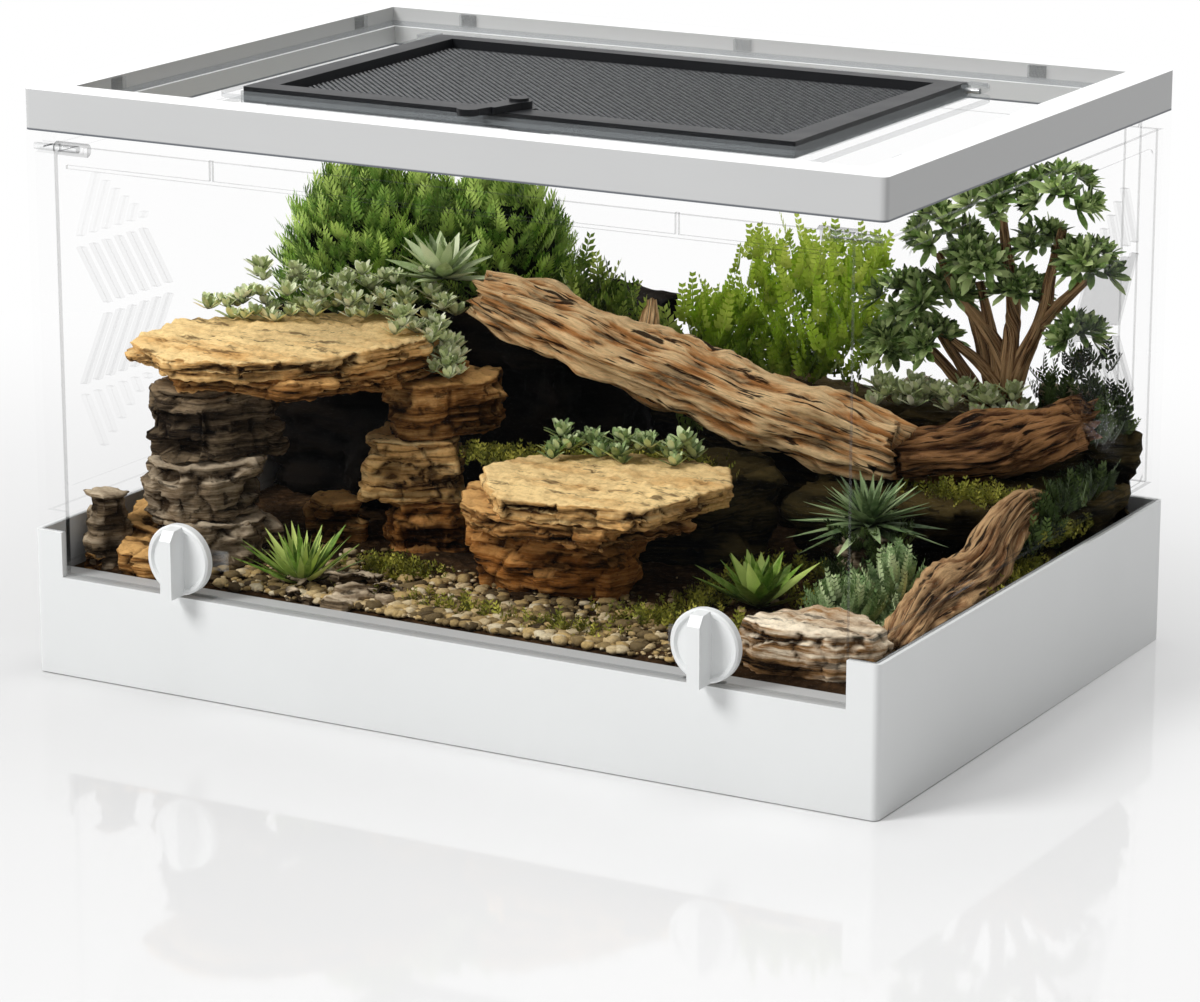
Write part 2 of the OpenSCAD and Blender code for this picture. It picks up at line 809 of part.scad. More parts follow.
// Rosette of pointed leaves around a short core
module rosette(p, leaves, reach, leaf_w, rise) {
    translate(spot(p)) {
        cylinder(r = leaf_w * 0.11 * leaves * girth, h = reach * 0.35 * girth);
        for (i = [0 : leaves - 1])
            rotate([0, -rise - 20 * (i % 2), i * 360 / leaves])
                linear_extrude(1.6)
                    scale(girth)
                        polygon([[0, -leaf_w * 0.25], [reach * 0.5, -leaf_w / 2], [reach, 0],
                                 [reach * 0.5, leaf_w / 2], [0, leaf_w * 0.25]]);
    }
}

// Landscape

module substrate_bed() {
    color([0.3, 0.22, 0.15])
        slab_box([-half_w + tray_wall + slack, channel_y + tray_wall, tray_floor],
                 [half_w - tray_wall - slack, half_d - tray_wall - slack, soil_z]);
}

module rear_bank_left() {
    color([0.33, 0.25, 0.17])
        translate([0, 0, soil_z])
            linear_extrude(bank_left_h)
                polygon(outline([[-plan_x, 26], [-120, 16], [-78, 26], [-38, 22], [-30, 60],
                                 [-34, plan_back], [-plan_x, plan_back]]));
}

module rear_bank_right() {
    color([0.28, 0.2, 0.13])
        translate([0, 0, soil_z])
            linear_extrude(bank_right_h)
                polygon(outline([[-25, 78], [60, 84], [110, 92], [150, 106], [plan_x, 122],
                                 [plan_x, plan_back], [-25, plan_back]]));
}

module centre_bank() {
    color([0.3, 0.22, 0.14])
        translate([0, 0, soil_z])
            linear_extrude(foot_h + centre_slab_t)
                polygon(outline([[-26, 4], [0, -6], [46, 2], [62, 30], [50, 58], [-22, 60]]));
}

module log_cradle() {
    color([0.26, 0.19, 0.12])
        translate([0, 0, soil_z])
            linear_extrude(cradle_h)
                polygon(outline([[72, 34], [130, 30], [178, 62], [plan_x, 90], [plan_x, 116],
                                 [130, 92], [70, 78]]));
}

// Cave: two pillars of three stones each carry two roof slabs
left_steps = [0, 0.28, 0.6, 1];
right_steps = [0, 0.32, 0.68, 1];

module cave_left(i) {
    z0 = soil_z + cave_h * left_steps[i];
    t = cave_h * (left_steps[i + 1] - left_steps[i]);
    spots = [[-150, -82], [-153, -81], [-153, -74]];
    radii = [[30, 25], [28, 24], [30, 23]];
    stone([spots[i][0], spots[i][1], z0], radii[i][0], radii[i][1], t, 40 * i + 15, 20 * i);
}

module cave_right(i) {
    z0 = soil_z + cave_h * right_steps[i];
    t = cave_h * (right_steps[i + 1] - right_steps[i]);
    spots = [[-76, -20], [-80, -26], [-70, -16]];
    radii = [[22, 22], [24, 21], [28, 20]];
    stone([spots[i][0], spots[i][1], z0], radii[i][0], radii[i][1], t, 55 * i + 70, 25 * i);
}

module cave_pillar_left_lower() {
    color([0.45, 0.38, 0.29])
        cave_left(0);
}

module cave_pillar_left_middle() {
    color([0.5, 0.46, 0.39])
        cave_left(1);
}

module cave_pillar_left_upper() {
    color([0.42, 0.39, 0.33])
        cave_left(2);
}

module cave_pillar_right_lower() {
    color([0.4, 0.3, 0.2])
        cave_right(0);
}

module cave_pillar_right_middle() {
    color([0.6, 0.47, 0.3])
        cave_right(1);
}

module cave_pillar_right_upper() {
    color([0.5, 0.37, 0.24])
        cave_right(2);
}

module cave_roof_lower() {
    color([0.5, 0.42, 0.31])
        ledge_slab([-124, -42, roof_z],
                   [[-55, -30], [-30, 30], [10, 48], [36, 52], [58, 34], [50, -14], [26, -48],
                    [-28, -58]],
                   roof_lower_t);
}

module cave_roof_upper() {
    color([0.76, 0.62, 0.42])
        ledge_slab([-130, -52, roof_z + roof_lower_t],
                   [[-48, -44], [-56, 0], [-28, 40], [18, 60], [40, 56], [58, 22], [44, -26],
                    [16, -54], [-18, -62]],
                   roof_upper_t);
}

module cave_inner_rock() {
    color([0.45, 0.36, 0.27])
        stone([-118, -30, soil_z], 14, 11, 20, 30);
}

module side_rocks() {
    color([0.5, 0.47, 0.42]) {
        stone([-plan_x + 11.5, plan_front + 12, soil_z], 10.5, 10.5, 34, 10);
        stone([-145, plan_front + 6.5, soil_z], 9, 5, 8, 60);
        stone([-plan_x + 15, -36, soil_z], 13, 12, 34, 100);
    }
}

module centre_foot_stone() {
    color([0.52, 0.4, 0.26])
        stone([0, -44, soil_z], 40, 27, foot_h, 130);
}

module centre_slab_lower() {
    color([0.6, 0.5, 0.35])
        ledge_slab([8, -50, slab_z],
                   [[-50, 4], [-26, 28], [44, 28], [58, 4], [38, -34], [-8, -42], [-36, -26]],
                   centre_slab_t);
}

module centre_slab_upper() {
    color([0.76, 0.62, 0.42])
        ledge_slab([22, -46, slab_z + centre_slab_t],
                   [[-54, -6], [-46, 24], [16, 46], [42, 42], [56, 18], [42, -38], [-20, -48]],
                   centre_slab_t);
}

module front_boulder() {
    color([0.66, 0.6, 0.5])
        stone([150, plan_front + 26, soil_z], 31, 19, 21, 200, 8);
}

module grey_stones() {
    color([0.5, 0.49, 0.45]) {
        stone([92, 113, bank_right_z], 9, 7, 9, 40);
        stone([162, plan_back - 13, bank_right_z], 15, 7, 12, 160);
        stone([124, 2, soil_z], 14, 12, agave_step, 75);
    }
}

// Loose pebbles in a strip along the front
module pebbles() {
    columns = 12;
    rows = 3;
    color([0.55, 0.5, 0.42])
        for (i = [0 : columns - 1])
            for (j = [0 : rows - 1])
                translate(spot([-64 + i * 14.5 + 4 * sin(97 * i + 31 * j),
                                plan_front + 8 + j * 12 + 2.5 * sin(61 * i + 140 * j), soil_z]))
                    rotate(47 * i + 80 * j)
                        linear_extrude(2.5 + 1.2 * sin(71 * i + 50 * j))
                            scale(girth)
                                polygon(blob(4.2 + sin(83 * i + 20 * j), 3.2, 37 * i + 11 * j, 7));
}

// Driftwood: it leans from the left bank down to the cradle
log_head = [-62, 10, bank_left_z + 18];
log_foot = [104, 52, soil_z + cradle_h + 14];

module driftwood_log() {
    color([0.55, 0.34, 0.19])
        difference() {
            union() {
                limb(spot(log_head), spot(log_foot), log_r * 0.9, log_r);
                limb(spot(log_head + [66, 18, -24]), spot(log_head + [58, 38, 4]), 7, 4);
            }
            slab_box(spot([-100, 22, 0]), spot([-20, 100, bank_left_z]));
            slab_box(spot([60, 0, 0]), spot([140, 100, soil_z + cradle_h]));
        }
}

right_log_a = [109, 65, soil_z + cradle_h + 9];
right_log_b = [182, 84, soil_z + cradle_h + 30];

module right_log() {
    color([0.4, 0.24, 0.14])
        difference() {
            limb(spot(right_log_a), spot(right_log_b), 13, 14);
            slab_box(spot([60, 0, 0]), [half_w, half_d, soil_z + cradle_h]);
        }
}

root_a = spot([plan_x - 16, -78, soil_z + 6]);
root_b = spot([plan_x - 20, -20, soil_z + 9]);
root_c = spot([plan_x - 17, 16, soil_z + 18]);
root_d = spot([plan_x - 19, 42, soil_z + 36]);

module root_branch() {
    color([0.48, 0.34, 0.23])
        difference() {
            union() {
                limb(root_a, root_b, 8, 10);
                limb(root_b, root_c, 9, 8.5);
                limb(root_c, root_d, 8, 6.5);
                translate(root_b)
                    sphere(r = 10.6 * girth);
                translate(root_c)
                    sphere(r = 9 * girth);
            }
            slab_box([0, -half_d, 0], [half_w, half_d, soil_z]);
        }
}

// Bonsai: a forked trunk, and leaf heads that each stand on a limb's end
trunk_foot = spot([134, 111, bank_right_z]);
fork = spot([136, 109, bank_right_z + 18]);
tree_heads = [[160, 108, 91], [134, 106, 95], [106, 108, 77], [174, 104, 69], [114, 100, 39]];
head_r = [14, 13.5, 14, 11.5, 10] * girth;
head_gap = 0.1;

function head_at(i) = spot(tree_heads[i] + [0, 0, bank_right_z]);
function head_seat(i) =
    let (d = fork - head_at(i))
        head_at(i) + d * (head_r[i] + head_gap) / norm(d);

module bonsai_trunk() {
    color([0.42, 0.3, 0.2])
        difference() {
            union() {
                limb(trunk_foot, fork, 8, 6);
                translate(fork)
                    sphere(r = 6.6 * girth);
                for (i = [0 : len(tree_heads) - 1])
                    limb(fork, head_seat(i), 3.6, 2.2);
            }
            slab_box(spot([100, 90, 0]), spot([170, 130, bank_right_z]));
        }
}

module bonsai_foliage() {
    color([0.2, 0.36, 0.16])
        for (i = [0 : len(tree_heads) - 1])
            translate(head_at(i))
                sphere(r = head_r[i]);
}

module bush_dark() {
    color([0.13, 0.3, 0.08]) {
        mound([-148, 44, bank_left_z], 36, 60);
        mound([-104, 84, bank_left_z], 34, 56);
    }
}

module rosette_pale() {
    stem_h = 14;
    color([0.35, 0.47, 0.3]) {
        translate(spot([-91, 26, bank_left_z]))
            cylinder(r = 8 * girth, h = stem_h);
        rosette([-91, 26, bank_left_z + stem_h], 9, 20, 6, 32);
    }
}

module pale_succulents() {
    color([0.5, 0.6, 0.42])
        for (i = [0 : 5])
            mound([-166 + 15 * i, -38 + 7 * i, deck_z], 8, 12 + 2 * (i % 2));
}

module trailing_plant() {
    color([0.42, 0.5, 0.38]) {
        mound([-84, -28, deck_z], 7.5, 12);
        mound([-73.5, -14, roof_z + roof_lower_t], 5, 9);
    }
}

module yellow_shrub() {
    color([0.42, 0.6, 0.1]) {
        mound([38, 104, bank_right_z], 24, 64);
        mound([10, 108, bank_right_z], 18, 50);
        mound([60, 109, bank_right_z], 18, 58);
    }
}

module centre_succulents() {
    color([0.35, 0.45, 0.3])
        for (i = [0 : 3])
            mound([-4 + 15.5 * i, -25 + 3 * i, terrace_z], 7.4, 10 + 2 * (i % 2));
}

module right_succulents() {
    color([0.4, 0.5, 0.28])
        for (i = [0 : 2])
            mound([86 + 13.5 * i, 96 + 2 * i, bank_right_z], 6, 9);
}

module agave_front() {
    color([0.25, 0.42, 0.18])
        rosette([94, -38, soil_z], 9, 27, 6, 32);
}

module agave_mid() {
    color([0.2, 0.32, 0.2])
        rosette([124, 2, soil_z + agave_step], 9, 24, 6, 32);
}

module front_rosette() {
    color([0.25, 0.45, 0.18])
        rosette([-91, plan_front + 24, soil_z], 9, 21, 6, 32);
}

module fern_plants() {
    color([0.27, 0.38, 0.27]) {
        mound([142, -55, soil_z], 13, 20);
        mound([149, -27, soil_z], 12, 24);
    }
}

module moss_ground() {
    color([0.3, 0.33, 0.14])
        translate([0, 0, soil_z])
            linear_extrude(3) {
                translate(spot([-66, -63, 0]))
                    polygon(blob(16 * girth, 12 * girth, 80));
                translate(spot([63, -72, 0]))
                    polygon(blob(16 * girth, 8 * girth, 25));
            }
}

base_tray();
left_panel();
right_panel();
back_panel();
front_door();
door_pins();
knob_left();
knob_right();
cam_left();
cam_right();
cam_screw_left();
cam_screw_right();
top_frame();
lid_plate();
snap_clips();
mesh_frame();
mesh_screen();
mesh_retainer();
hatch_pins();
latch_lever();
latch_cap();
latch_tongue();
substrate_bed();
rear_bank_left();
rear_bank_right();
centre_bank();
log_cradle();
cave_pillar_left_lower();
cave_pillar_left_middle();
cave_pillar_left_upper();
cave_pillar_right_lower();
cave_pillar_right_middle();
cave_pillar_right_upper();
cave_roof_lower();
cave_roof_upper();
cave_inner_rock();
side_rocks();
centre_foot_stone();
centre_slab_lower();
centre_slab_upper();
front_boulder();
grey_stones();
pebbles();
driftwood_log();
right_log();
root_branch();
bonsai_trunk();
bonsai_foliage();
bush_dark();
rosette_pale();
pale_succulents();
trailing_plant();
yellow_shrub();
centre_succulents();
right_succulents();
agave_front();
agave_mid();
front_rosette();
fern_plants();
moss_ground();
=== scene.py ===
"""Planted reptile terrarium: plastics, clear walls, mesh, rock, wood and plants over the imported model."""

import math
import random

import bpy
import numpy as np
from bpy.props import FloatProperty, FloatVectorProperty, IntProperty, PointerProperty
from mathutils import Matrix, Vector, noise


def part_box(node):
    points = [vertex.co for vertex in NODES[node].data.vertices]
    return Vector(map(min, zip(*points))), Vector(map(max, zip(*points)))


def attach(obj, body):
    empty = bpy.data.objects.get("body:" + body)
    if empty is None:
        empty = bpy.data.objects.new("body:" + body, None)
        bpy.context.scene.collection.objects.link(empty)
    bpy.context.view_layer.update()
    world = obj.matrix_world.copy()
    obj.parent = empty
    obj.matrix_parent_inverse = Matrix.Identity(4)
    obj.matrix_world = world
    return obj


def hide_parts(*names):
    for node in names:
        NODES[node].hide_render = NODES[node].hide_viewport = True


bl_info = {
    "name": "Planted terrarium",
    "version": (1, 0, 0),
    "blender": (4, 5, 0),
    "location": "3D View > Sidebar > Terrarium",
    "description": "Finishes and furnishes a clear-walled reptile terrarium",
    "category": "Object",
}

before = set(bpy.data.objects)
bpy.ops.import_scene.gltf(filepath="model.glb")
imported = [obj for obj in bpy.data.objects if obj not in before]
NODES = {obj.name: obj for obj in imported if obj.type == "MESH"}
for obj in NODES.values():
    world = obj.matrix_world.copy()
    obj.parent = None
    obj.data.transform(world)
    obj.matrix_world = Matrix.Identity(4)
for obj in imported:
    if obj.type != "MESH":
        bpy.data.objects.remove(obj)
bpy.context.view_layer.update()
MM = 0.001
TANK = "enclosure"
HATCH = "mesh_hatch"

# The soil's corners, its height in millimetres, and the corners of the room that the planting keeps to
SOIL_LOW, SOIL_HIGH = (Vector(corner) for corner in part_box("substrate_bed"))
GROUND = SOIL_HIGH.z / MM
WALL_GAP = 0.0006
INSIDE_LOW = np.array([SOIL_LOW.x + WALL_GAP, SOIL_LOW.y + WALL_GAP, 0.002])
INSIDE_HIGH = np.array([SOIL_HIGH.x, SOIL_HIGH.y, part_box("top_frame")[0][2] + 0.006]) - WALL_GAP

# Where the two mounds of the dark bush stand, in millimetres
BUSH_MIDDLES = ((-148, 44), (-104, 84))


class TerrariumSettings(bpy.types.PropertyGroup):
    """Sizes and colours of the terrarium's finishes and planting."""

    tray_color: FloatVectorProperty(
        name="Tray", description="Colour of the tray and the knobs",
        subtype="COLOR", size=3, min=0, max=1, default=(0.78, 0.792, 0.789))
    rim_color: FloatVectorProperty(
        name="Rim", description="Colour of the rim", subtype="COLOR", size=3, min=0, max=1,
        default=(0.52, 0.524, 0.524))
    hatch_color: FloatVectorProperty(
        name="Hatch", description="Colour of the hatch frame and its latch", subtype="COLOR",
        size=3, min=0, max=1, default=(0.006, 0.0068, 0.0085))
    weave_pitch: FloatProperty(
        name="Weave pitch", description="Distance between the wires of the mesh",
        subtype="DISTANCE", min=0.0014, max=0.006, default=0.00165)
    weave_wire: FloatProperty(
        name="Wire", description="Thickness of one mesh wire", subtype="DISTANCE",
        min=0.0003, max=0.001, default=0.00066)
    pebble_count: IntProperty(
        name="Pebbles", description="Loose pebbles on the soil", min=0, max=4000, default=3400)
    bush_sprigs: IntProperty(
        name="Bush sprigs", description="Sprigs on the dark bushes", min=50, max=4000,
        default=2100)
    shrub_fronds: IntProperty(
        name="Shrub fronds", description="Fronds on the bright shrub", min=20, max=900,
        default=420)


def settings():
    """The values that a user can change in the panel."""
    return bpy.context.scene.terrarium


def screen(*tones):
    """Linear colours from tones in the usual 0 to 255 screen values."""

    def linear(value):
        share = value / 255
        return share / 12.92 if share <= 0.04045 else ((share + 0.055) / 1.055) ** 2.4

    return [(*map(linear, tone), 1.0) for tone in tones]


def darker(color, share):
    """A share of a colour, as a four-part colour."""
    return (*(part * share for part in color), 1.0)


def foot(node):
    """Height of a CAD piece's lowest point in millimetres."""
    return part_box(node)[0][2] / MM


def crown(node):
    """Height of a CAD piece's highest point in millimetres."""
    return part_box(node)[1][2] / MM


def corners(node):
    """The lowest and highest corner of a CAD piece in millimetres."""
    return [Vector(corner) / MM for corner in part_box(node)]


# Materials


class Finish:
    """A procedural material that is built up node by node."""

    def __init__(self, name, roughness=0.5, gloss=0.5):
        self.material = bpy.data.materials.new(name)
        self.material.use_nodes = True
        self.tree = self.material.node_tree
        self.shader = self.tree.nodes["Principled BSDF"]
        self.shader.inputs["Roughness"].default_value = roughness
        self.shader.inputs["Specular IOR Level"].default_value = gloss
        self.coords = self.tree.nodes.new("ShaderNodeTexCoord").outputs["Object"]

    def add(self, kind, **values):
        """A new node with some of its settings."""
        node = self.tree.nodes.new(kind)
        for name, value in values.items():
            setattr(node, name, value)
        return node

    def link(self, source, target):
        """Joins an output to an input."""
        self.tree.links.new(source, target)

    def axes(self, source):
        """The X, Y and Z parts of a vector."""
        node = self.add("ShaderNodeSeparateXYZ")
        self.link(source, node.inputs["Vector"])
        return node.outputs

    def facing(self):
        """The way that the surface faces, on the piece's own axes."""
        return self.add("ShaderNodeTexCoord").outputs["Normal"]

    def attribute(self, name):
        """A value that is stored on the mesh's points."""
        return self.add("ShaderNodeAttribute", attribute_name=name).outputs["Fac"]

    def stretched(self, scale, source=None):
        """A place that a pattern reads at another scale along each axis."""
        node = self.add("ShaderNodeMapping")
        node.inputs["Scale"].default_value = scale
        self.link(source or self.coords, node.inputs["Vector"])
        return node.outputs["Vector"]

    def noise(self, scale, detail=4.0, source=None, rough=0.55):
        """A cloudy pattern."""
        node = self.add("ShaderNodeTexNoise")
        node.inputs["Scale"].default_value = scale
        node.inputs["Detail"].default_value = detail
        node.inputs["Roughness"].default_value = rough
        self.link(source or self.coords, node.inputs["Vector"])
        return node.outputs["Fac"]

    def cells(self, scale):
        """A pattern of rounded cells."""
        node = self.add("ShaderNodeTexVoronoi")
        node.inputs["Scale"].default_value = scale
        self.link(self.coords, node.inputs["Vector"])
        return node.outputs["Distance"]

    def ramp(self, fac, stops):
        """Colours that run between stops."""
        node = self.add("ShaderNodeValToRGB")
        line = node.color_ramp
        while len(line.elements) < len(stops):
            line.elements.new(0.5)
        for element, (place, color) in zip(line.elements, stops):
            element.position = place
            element.color = color
        self.link(fac, node.inputs["Fac"])
        return node.outputs["Color"]

    def mix(self, fac, first, second, blend="MIX"):
        """Two colours mixed by a number or a pattern."""
        node = self.add("ShaderNodeMix", data_type="RGBA", blend_type=blend)
        for name, value in ((0, fac), (6, first), (7, second)):
            if isinstance(value, (int, float, tuple)):
                node.inputs[name].default_value = value
            else:
                self.link(value, node.inputs[name])
        return node.outputs[2]

    def span(self, value, low, high, to_low=0.0, to_high=1.0):
        """A value that eases from one range into another."""
        node = self.add("ShaderNodeMapRange", interpolation_type="SMOOTHSTEP")
        for name, number in (("From Min", low), ("From Max", high),
                             ("To Min", to_low), ("To Max", to_high)):
            node.inputs[name].default_value = number
        self.link(value, node.inputs["Value"])
        return node.outputs["Result"]

    def color(self, source):
        """Sets what colours the surface."""
        self.link(source, self.shader.inputs["Base Color"])

    def roughness(self, fac, low, high):
        """Lets a pattern vary the roughness."""
        self.link(self.span(fac, 0.0, 1.0, low, high), self.shader.inputs["Roughness"])

    def bump(self, height, distance, strength=1.0, onto=None):
        """Adds fine relief, over earlier relief where that is given."""
        node = self.add("ShaderNodeBump")
        node.inputs["Distance"].default_value = distance
        node.inputs["Strength"].default_value = strength
        self.link(height, node.inputs["Height"])
        if onto is not None:
            self.link(onto, node.inputs["Normal"])
        self.link(node.outputs["Normal"], self.shader.inputs["Normal"])
        return node.outputs["Normal"]

    def clouded(self, color, cloud=0.03):
        """A moulding's colour with slight clouding."""
        return self.ramp(self.noise(9.0, 3.0), [(0.35, darker(color, 1 - cloud)), (0.65, (*color, 1.0))])

    def mould_grain(self):
        """The faint grain that a mould leaves."""
        self.bump(self.noise(900.0, 2.0), 0.00004, 0.35)

    def satin(self):
        """An uneven satin gloss over the mould's grain."""
        self.roughness(self.noise(40.0, 4.0), 0.36, 0.5)
        self.mould_grain()


def hatch_plastic(color):
    """Black moulded plastic of uneven depth."""
    finish = Finish("hatch_black", 0.42, 0.26)
    finish.color(finish.clouded(color, 0.2))
    finish.satin()
    return finish.material


def tray_plastic(color):
    """White moulded plastic, with painted shade on the ledge under the door."""
    finish = Finish("tray_white", 0.42)
    cloud = finish.clouded(color)
    up = finish.span(finish.axes(finish.facing())["Z"], 0.85, 0.95)
    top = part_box("base_tray")[1][2]
    below_rim = finish.span(finish.axes(finish.coords)["Z"], top - 0.0085, top - 0.0105)
    # The up-facing ledge below the rim is painted darker: painted shade under the door.
    ledge = finish.mix(up, cloud, darker(color, 0.6))
    finish.color(finish.mix(below_rim, cloud, ledge))
    finish.satin()
    return finish.material


def rim_plastic(color):
    """Satin rim: grey sides, painted darker on the side facing +X as painted shade, with a painted shadow
    line below, under a top face painted nearly white as painted light.
    """
    finish = Finish("rim_grey", 0.4)
    facing = finish.axes(finish.facing())
    # Sides facing +X are painted darker: painted shade.
    side = finish.mix(finish.span(facing["X"], 0.6, 0.9), finish.clouded(color), darker(color, 0.8))
    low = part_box("top_frame")[0][2]
    # A painted shadow line along the rim's lower edge.
    line = finish.span(finish.axes(finish.coords)["Z"], low + 0.0011, low + 0.0005)
    side = finish.mix(line, side, (0.1, 0.11, 0.125, 1))
    # The top face is painted nearly white: painted light from above.
    finish.color(finish.mix(finish.span(facing["Z"], 0.7, 0.95), side, (0.86, 0.865, 0.865, 1)))
    finish.mould_grain()
    return finish.material


def clear_plastic(name, faces_along, face_alpha=0.008, edge_alpha=0.3, tone=0.08):
    """Clear moulding: faces along the named axes nearly vanish, and its edges are painted as grey lines
    that stand in for the light that the edges bend and reflect.
    """
    finish = Finish(name, 0.04, 0.15)
    either_way = finish.add("ShaderNodeVectorMath", operation="ABSOLUTE")
    finish.link(finish.facing(), either_way.inputs[0])
    parts = finish.axes(either_way.outputs["Vector"])
    facing = parts[faces_along[0]]
    for axis in faces_along[1:]:
        larger = finish.add("ShaderNodeMath", operation="MAXIMUM")
        finish.link(facing, larger.inputs[0])
        finish.link(parts[axis], larger.inputs[1])
        facing = larger.outputs["Value"]
    # Edges get a grey colour and more alpha: painted stand-ins for the light that clear edges bend and
    # reflect.
    edge = finish.span(facing, 0.75, 0.97, 1.0, 0.0)
    finish.color(finish.mix(edge, (tone * 2, tone * 2.1, tone * 2.15, 1),
                            (tone, tone * 1.08, tone * 1.12, 1)))
    film = finish.span(finish.noise(14.0, 3.0), 0.3, 0.75, face_alpha * 0.7, face_alpha * 1.3)
    alpha = finish.add("ShaderNodeMix", data_type="FLOAT")
    finish.link(edge, alpha.inputs[0])
    finish.link(film, alpha.inputs[2])
    alpha.inputs[3].default_value = edge_alpha
    finish.link(alpha.outputs[0], finish.shader.inputs["Alpha"])
    finish.material.surface_render_method = "BLENDED"
    return finish.material


def steel():
    """Drawn steel wire for the pins and screws."""
    finish = Finish("pin_steel", 0.3)
    finish.shader.inputs["Metallic"].default_value = 1.0
    grain = finish.noise(600.0, 3.0, finish.stretched((0.05, 1, 1)))
    finish.color(finish.ramp(grain, [(0.3, (0.42, 0.42, 0.42, 1)), (0.7, (0.68, 0.68, 0.67, 1))]))
    finish.bump(grain, 0.00003, 0.4)
    return finish.material


def sandstone(name, top, mid, crack):
    """Layered stone: warm, patchy tops painted lighter as painted light, banded sides, painted shade in the
    hollows and painted highlight on what stands out, and short dark strokes.
    """
    top, mid, crack = screen(top, mid, crack)
    finish = Finish(name, 0.85, 0.06)
    layers = finish.noise(95.0, 6.0, finish.stretched((0.25, 0.25, 3.2)), 0.7)
    patch = finish.noise(1.0, 7.0, finish.stretched((13.0, 52.0, 40.0)), 0.66)
    speck = finish.noise(520.0, 4.0)
    strokes = finish.noise(1.0, 4.0, finish.stretched((36.0, 170.0, 230.0)), 0.6)
    bright = tuple(min(1.0, part * 1.04) for part in top)
    body = finish.ramp(layers, [(0.36, crack), (0.48, mid), (0.66, top)])
    # Up-facing surfaces get a lighter, patchy tone: painted light on the tops.
    painted_top_light = finish.ramp(patch, [(0.34, mid), (0.5, top), (0.66, bright)])
    facing = finish.axes(finish.add("ShaderNodeNewGeometry").outputs["Normal"])
    stone = finish.mix(finish.span(facing["Z"], 0.35, 0.85), body, painted_top_light)
    stone = finish.mix(finish.span(strokes, 0.56, 0.66, 0.0, 0.75), stone, crack)
    grit = finish.ramp(speck, [(0.3, (0.35, 0.3, 0.25, 1)), (0.52, (1, 1, 1, 1))])
    stone = finish.mix(0.35, stone, grit, "MULTIPLY")
    # The stored relief darkens hollows and cracks and lightens what stands out: painted shade and painted
    # highlight.
    hollows = finish.ramp(finish.attribute("relief"), [
        (0.14, (0.1, 0.08, 0.06, 1)), (0.42, (0.86, 0.84, 0.82, 1)), (0.7, (1.06, 1.05, 1.03, 1))])
    finish.color(finish.mix(1.0, stone, hollows, "MULTIPLY"))
    fine = finish.bump(speck, 0.0006, 0.6)
    finish.bump(layers, 0.0016, 0.7, fine)
    return finish.material


def bark(name, pale, mid, dark):
    """Weathered wood: pale ridges and dark splits from the stored relief, partly the wood's own colour and
    partly painted highlight and painted shade, and a grain that follows the limb's UV map.
    """
    pale, mid, dark = screen(pale, mid, dark)
    finish = Finish(name, 0.75, 0.1)
    lengthwise = finish.add("ShaderNodeUVMap", uv_map="grain").outputs["UV"]
    grain = finish.noise(1.0, 7.0, finish.stretched((28.0, 3.6, 1.0), lengthwise), 0.66)
    fine = finish.noise(1.0, 5.0, finish.stretched((130.0, 15.0, 1.0), lengthwise), 0.6)
    strokes = finish.noise(1.0, 3.0, finish.stretched((50.0, 4.4, 1.0), lengthwise), 0.55)
    # The relief paints splits dark and ridges pale: partly weathered colour, partly painted shade and
    # painted highlight.
    wood = finish.ramp(finish.attribute("relief"), [(0.14, dark), (0.34, mid), (0.56, pale)])
    wood = finish.mix(finish.span(grain, 0.42, 0.62, 0.0, 0.7), wood, pale)
    wood = finish.mix(finish.span(grain, 0.5, 0.36, 0.0, 0.8), wood, mid)
    wood = finish.mix(finish.span(strokes, 0.57, 0.63, 0.0, 0.95), wood, dark)
    pores = finish.ramp(fine, [(0.35, (0.25, 0.2, 0.16, 1)), (0.55, (1, 1, 1, 1))])
    finish.color(finish.mix(0.4, wood, pores, "MULTIPLY"))
    first = finish.bump(grain, 0.002, 0.7)
    second = finish.bump(strokes, 0.0016, 0.6, first)
    finish.bump(fine, 0.0008, 0.7, second)
    return finish.material


def leaf_green(name, dark, mid, light, roughness=0.5, base=0.2):
    """Leaves whose tone comes from each leaf's own tint, and from painted shade that is deepest at each
    leaf's base and gone by its middle.
    """
    dark, mid, light = screen(dark, mid, light)
    finish = Finish(name, roughness, 0.16)
    tone = finish.ramp(finish.attribute("tint"), [(0.05, dark), (0.5, mid), (0.95, light)])
    # Painted shade: each leaf is darker towards its base, where the foliage shades it.
    shade = finish.ramp(finish.attribute("along"), [(0.0, (base, base, base, 1)), (0.5, (1, 1, 1, 1))])
    tone = finish.mix(1.0, tone, shade, "MULTIPLY")
    mottle = finish.noise(420.0, 3.0)
    finish.color(finish.mix(finish.span(mottle, 0.3, 0.8, 0.0, 0.35), tone, light))
    finish.bump(mottle, 0.0003, 0.5)
    return finish.material


def loose_soil(name, dark, mid, light):
    """Dark soil with crumbs and grit."""
    dark, mid, light = screen(dark, mid, light)
    finish = Finish(name, 0.95, 0.04)
    crumbs = finish.cells(230.0)
    clumps = finish.noise(60.0, 6.0, rough=0.65)
    tone = finish.ramp(clumps, [(0.3, dark), (0.55, mid), (0.8, light)])
    grit = finish.ramp(crumbs, [(0.05, (1.5, 1.4, 1.25, 1)), (0.5, (0.55, 0.5, 0.46, 1))])
    finish.color(finish.mix(0.8, tone, grit, "MULTIPLY"))
    first = finish.bump(clumps, 0.004, 0.8)
    finish.bump(crumbs, 0.0015, 0.8, first)
    return finish.material


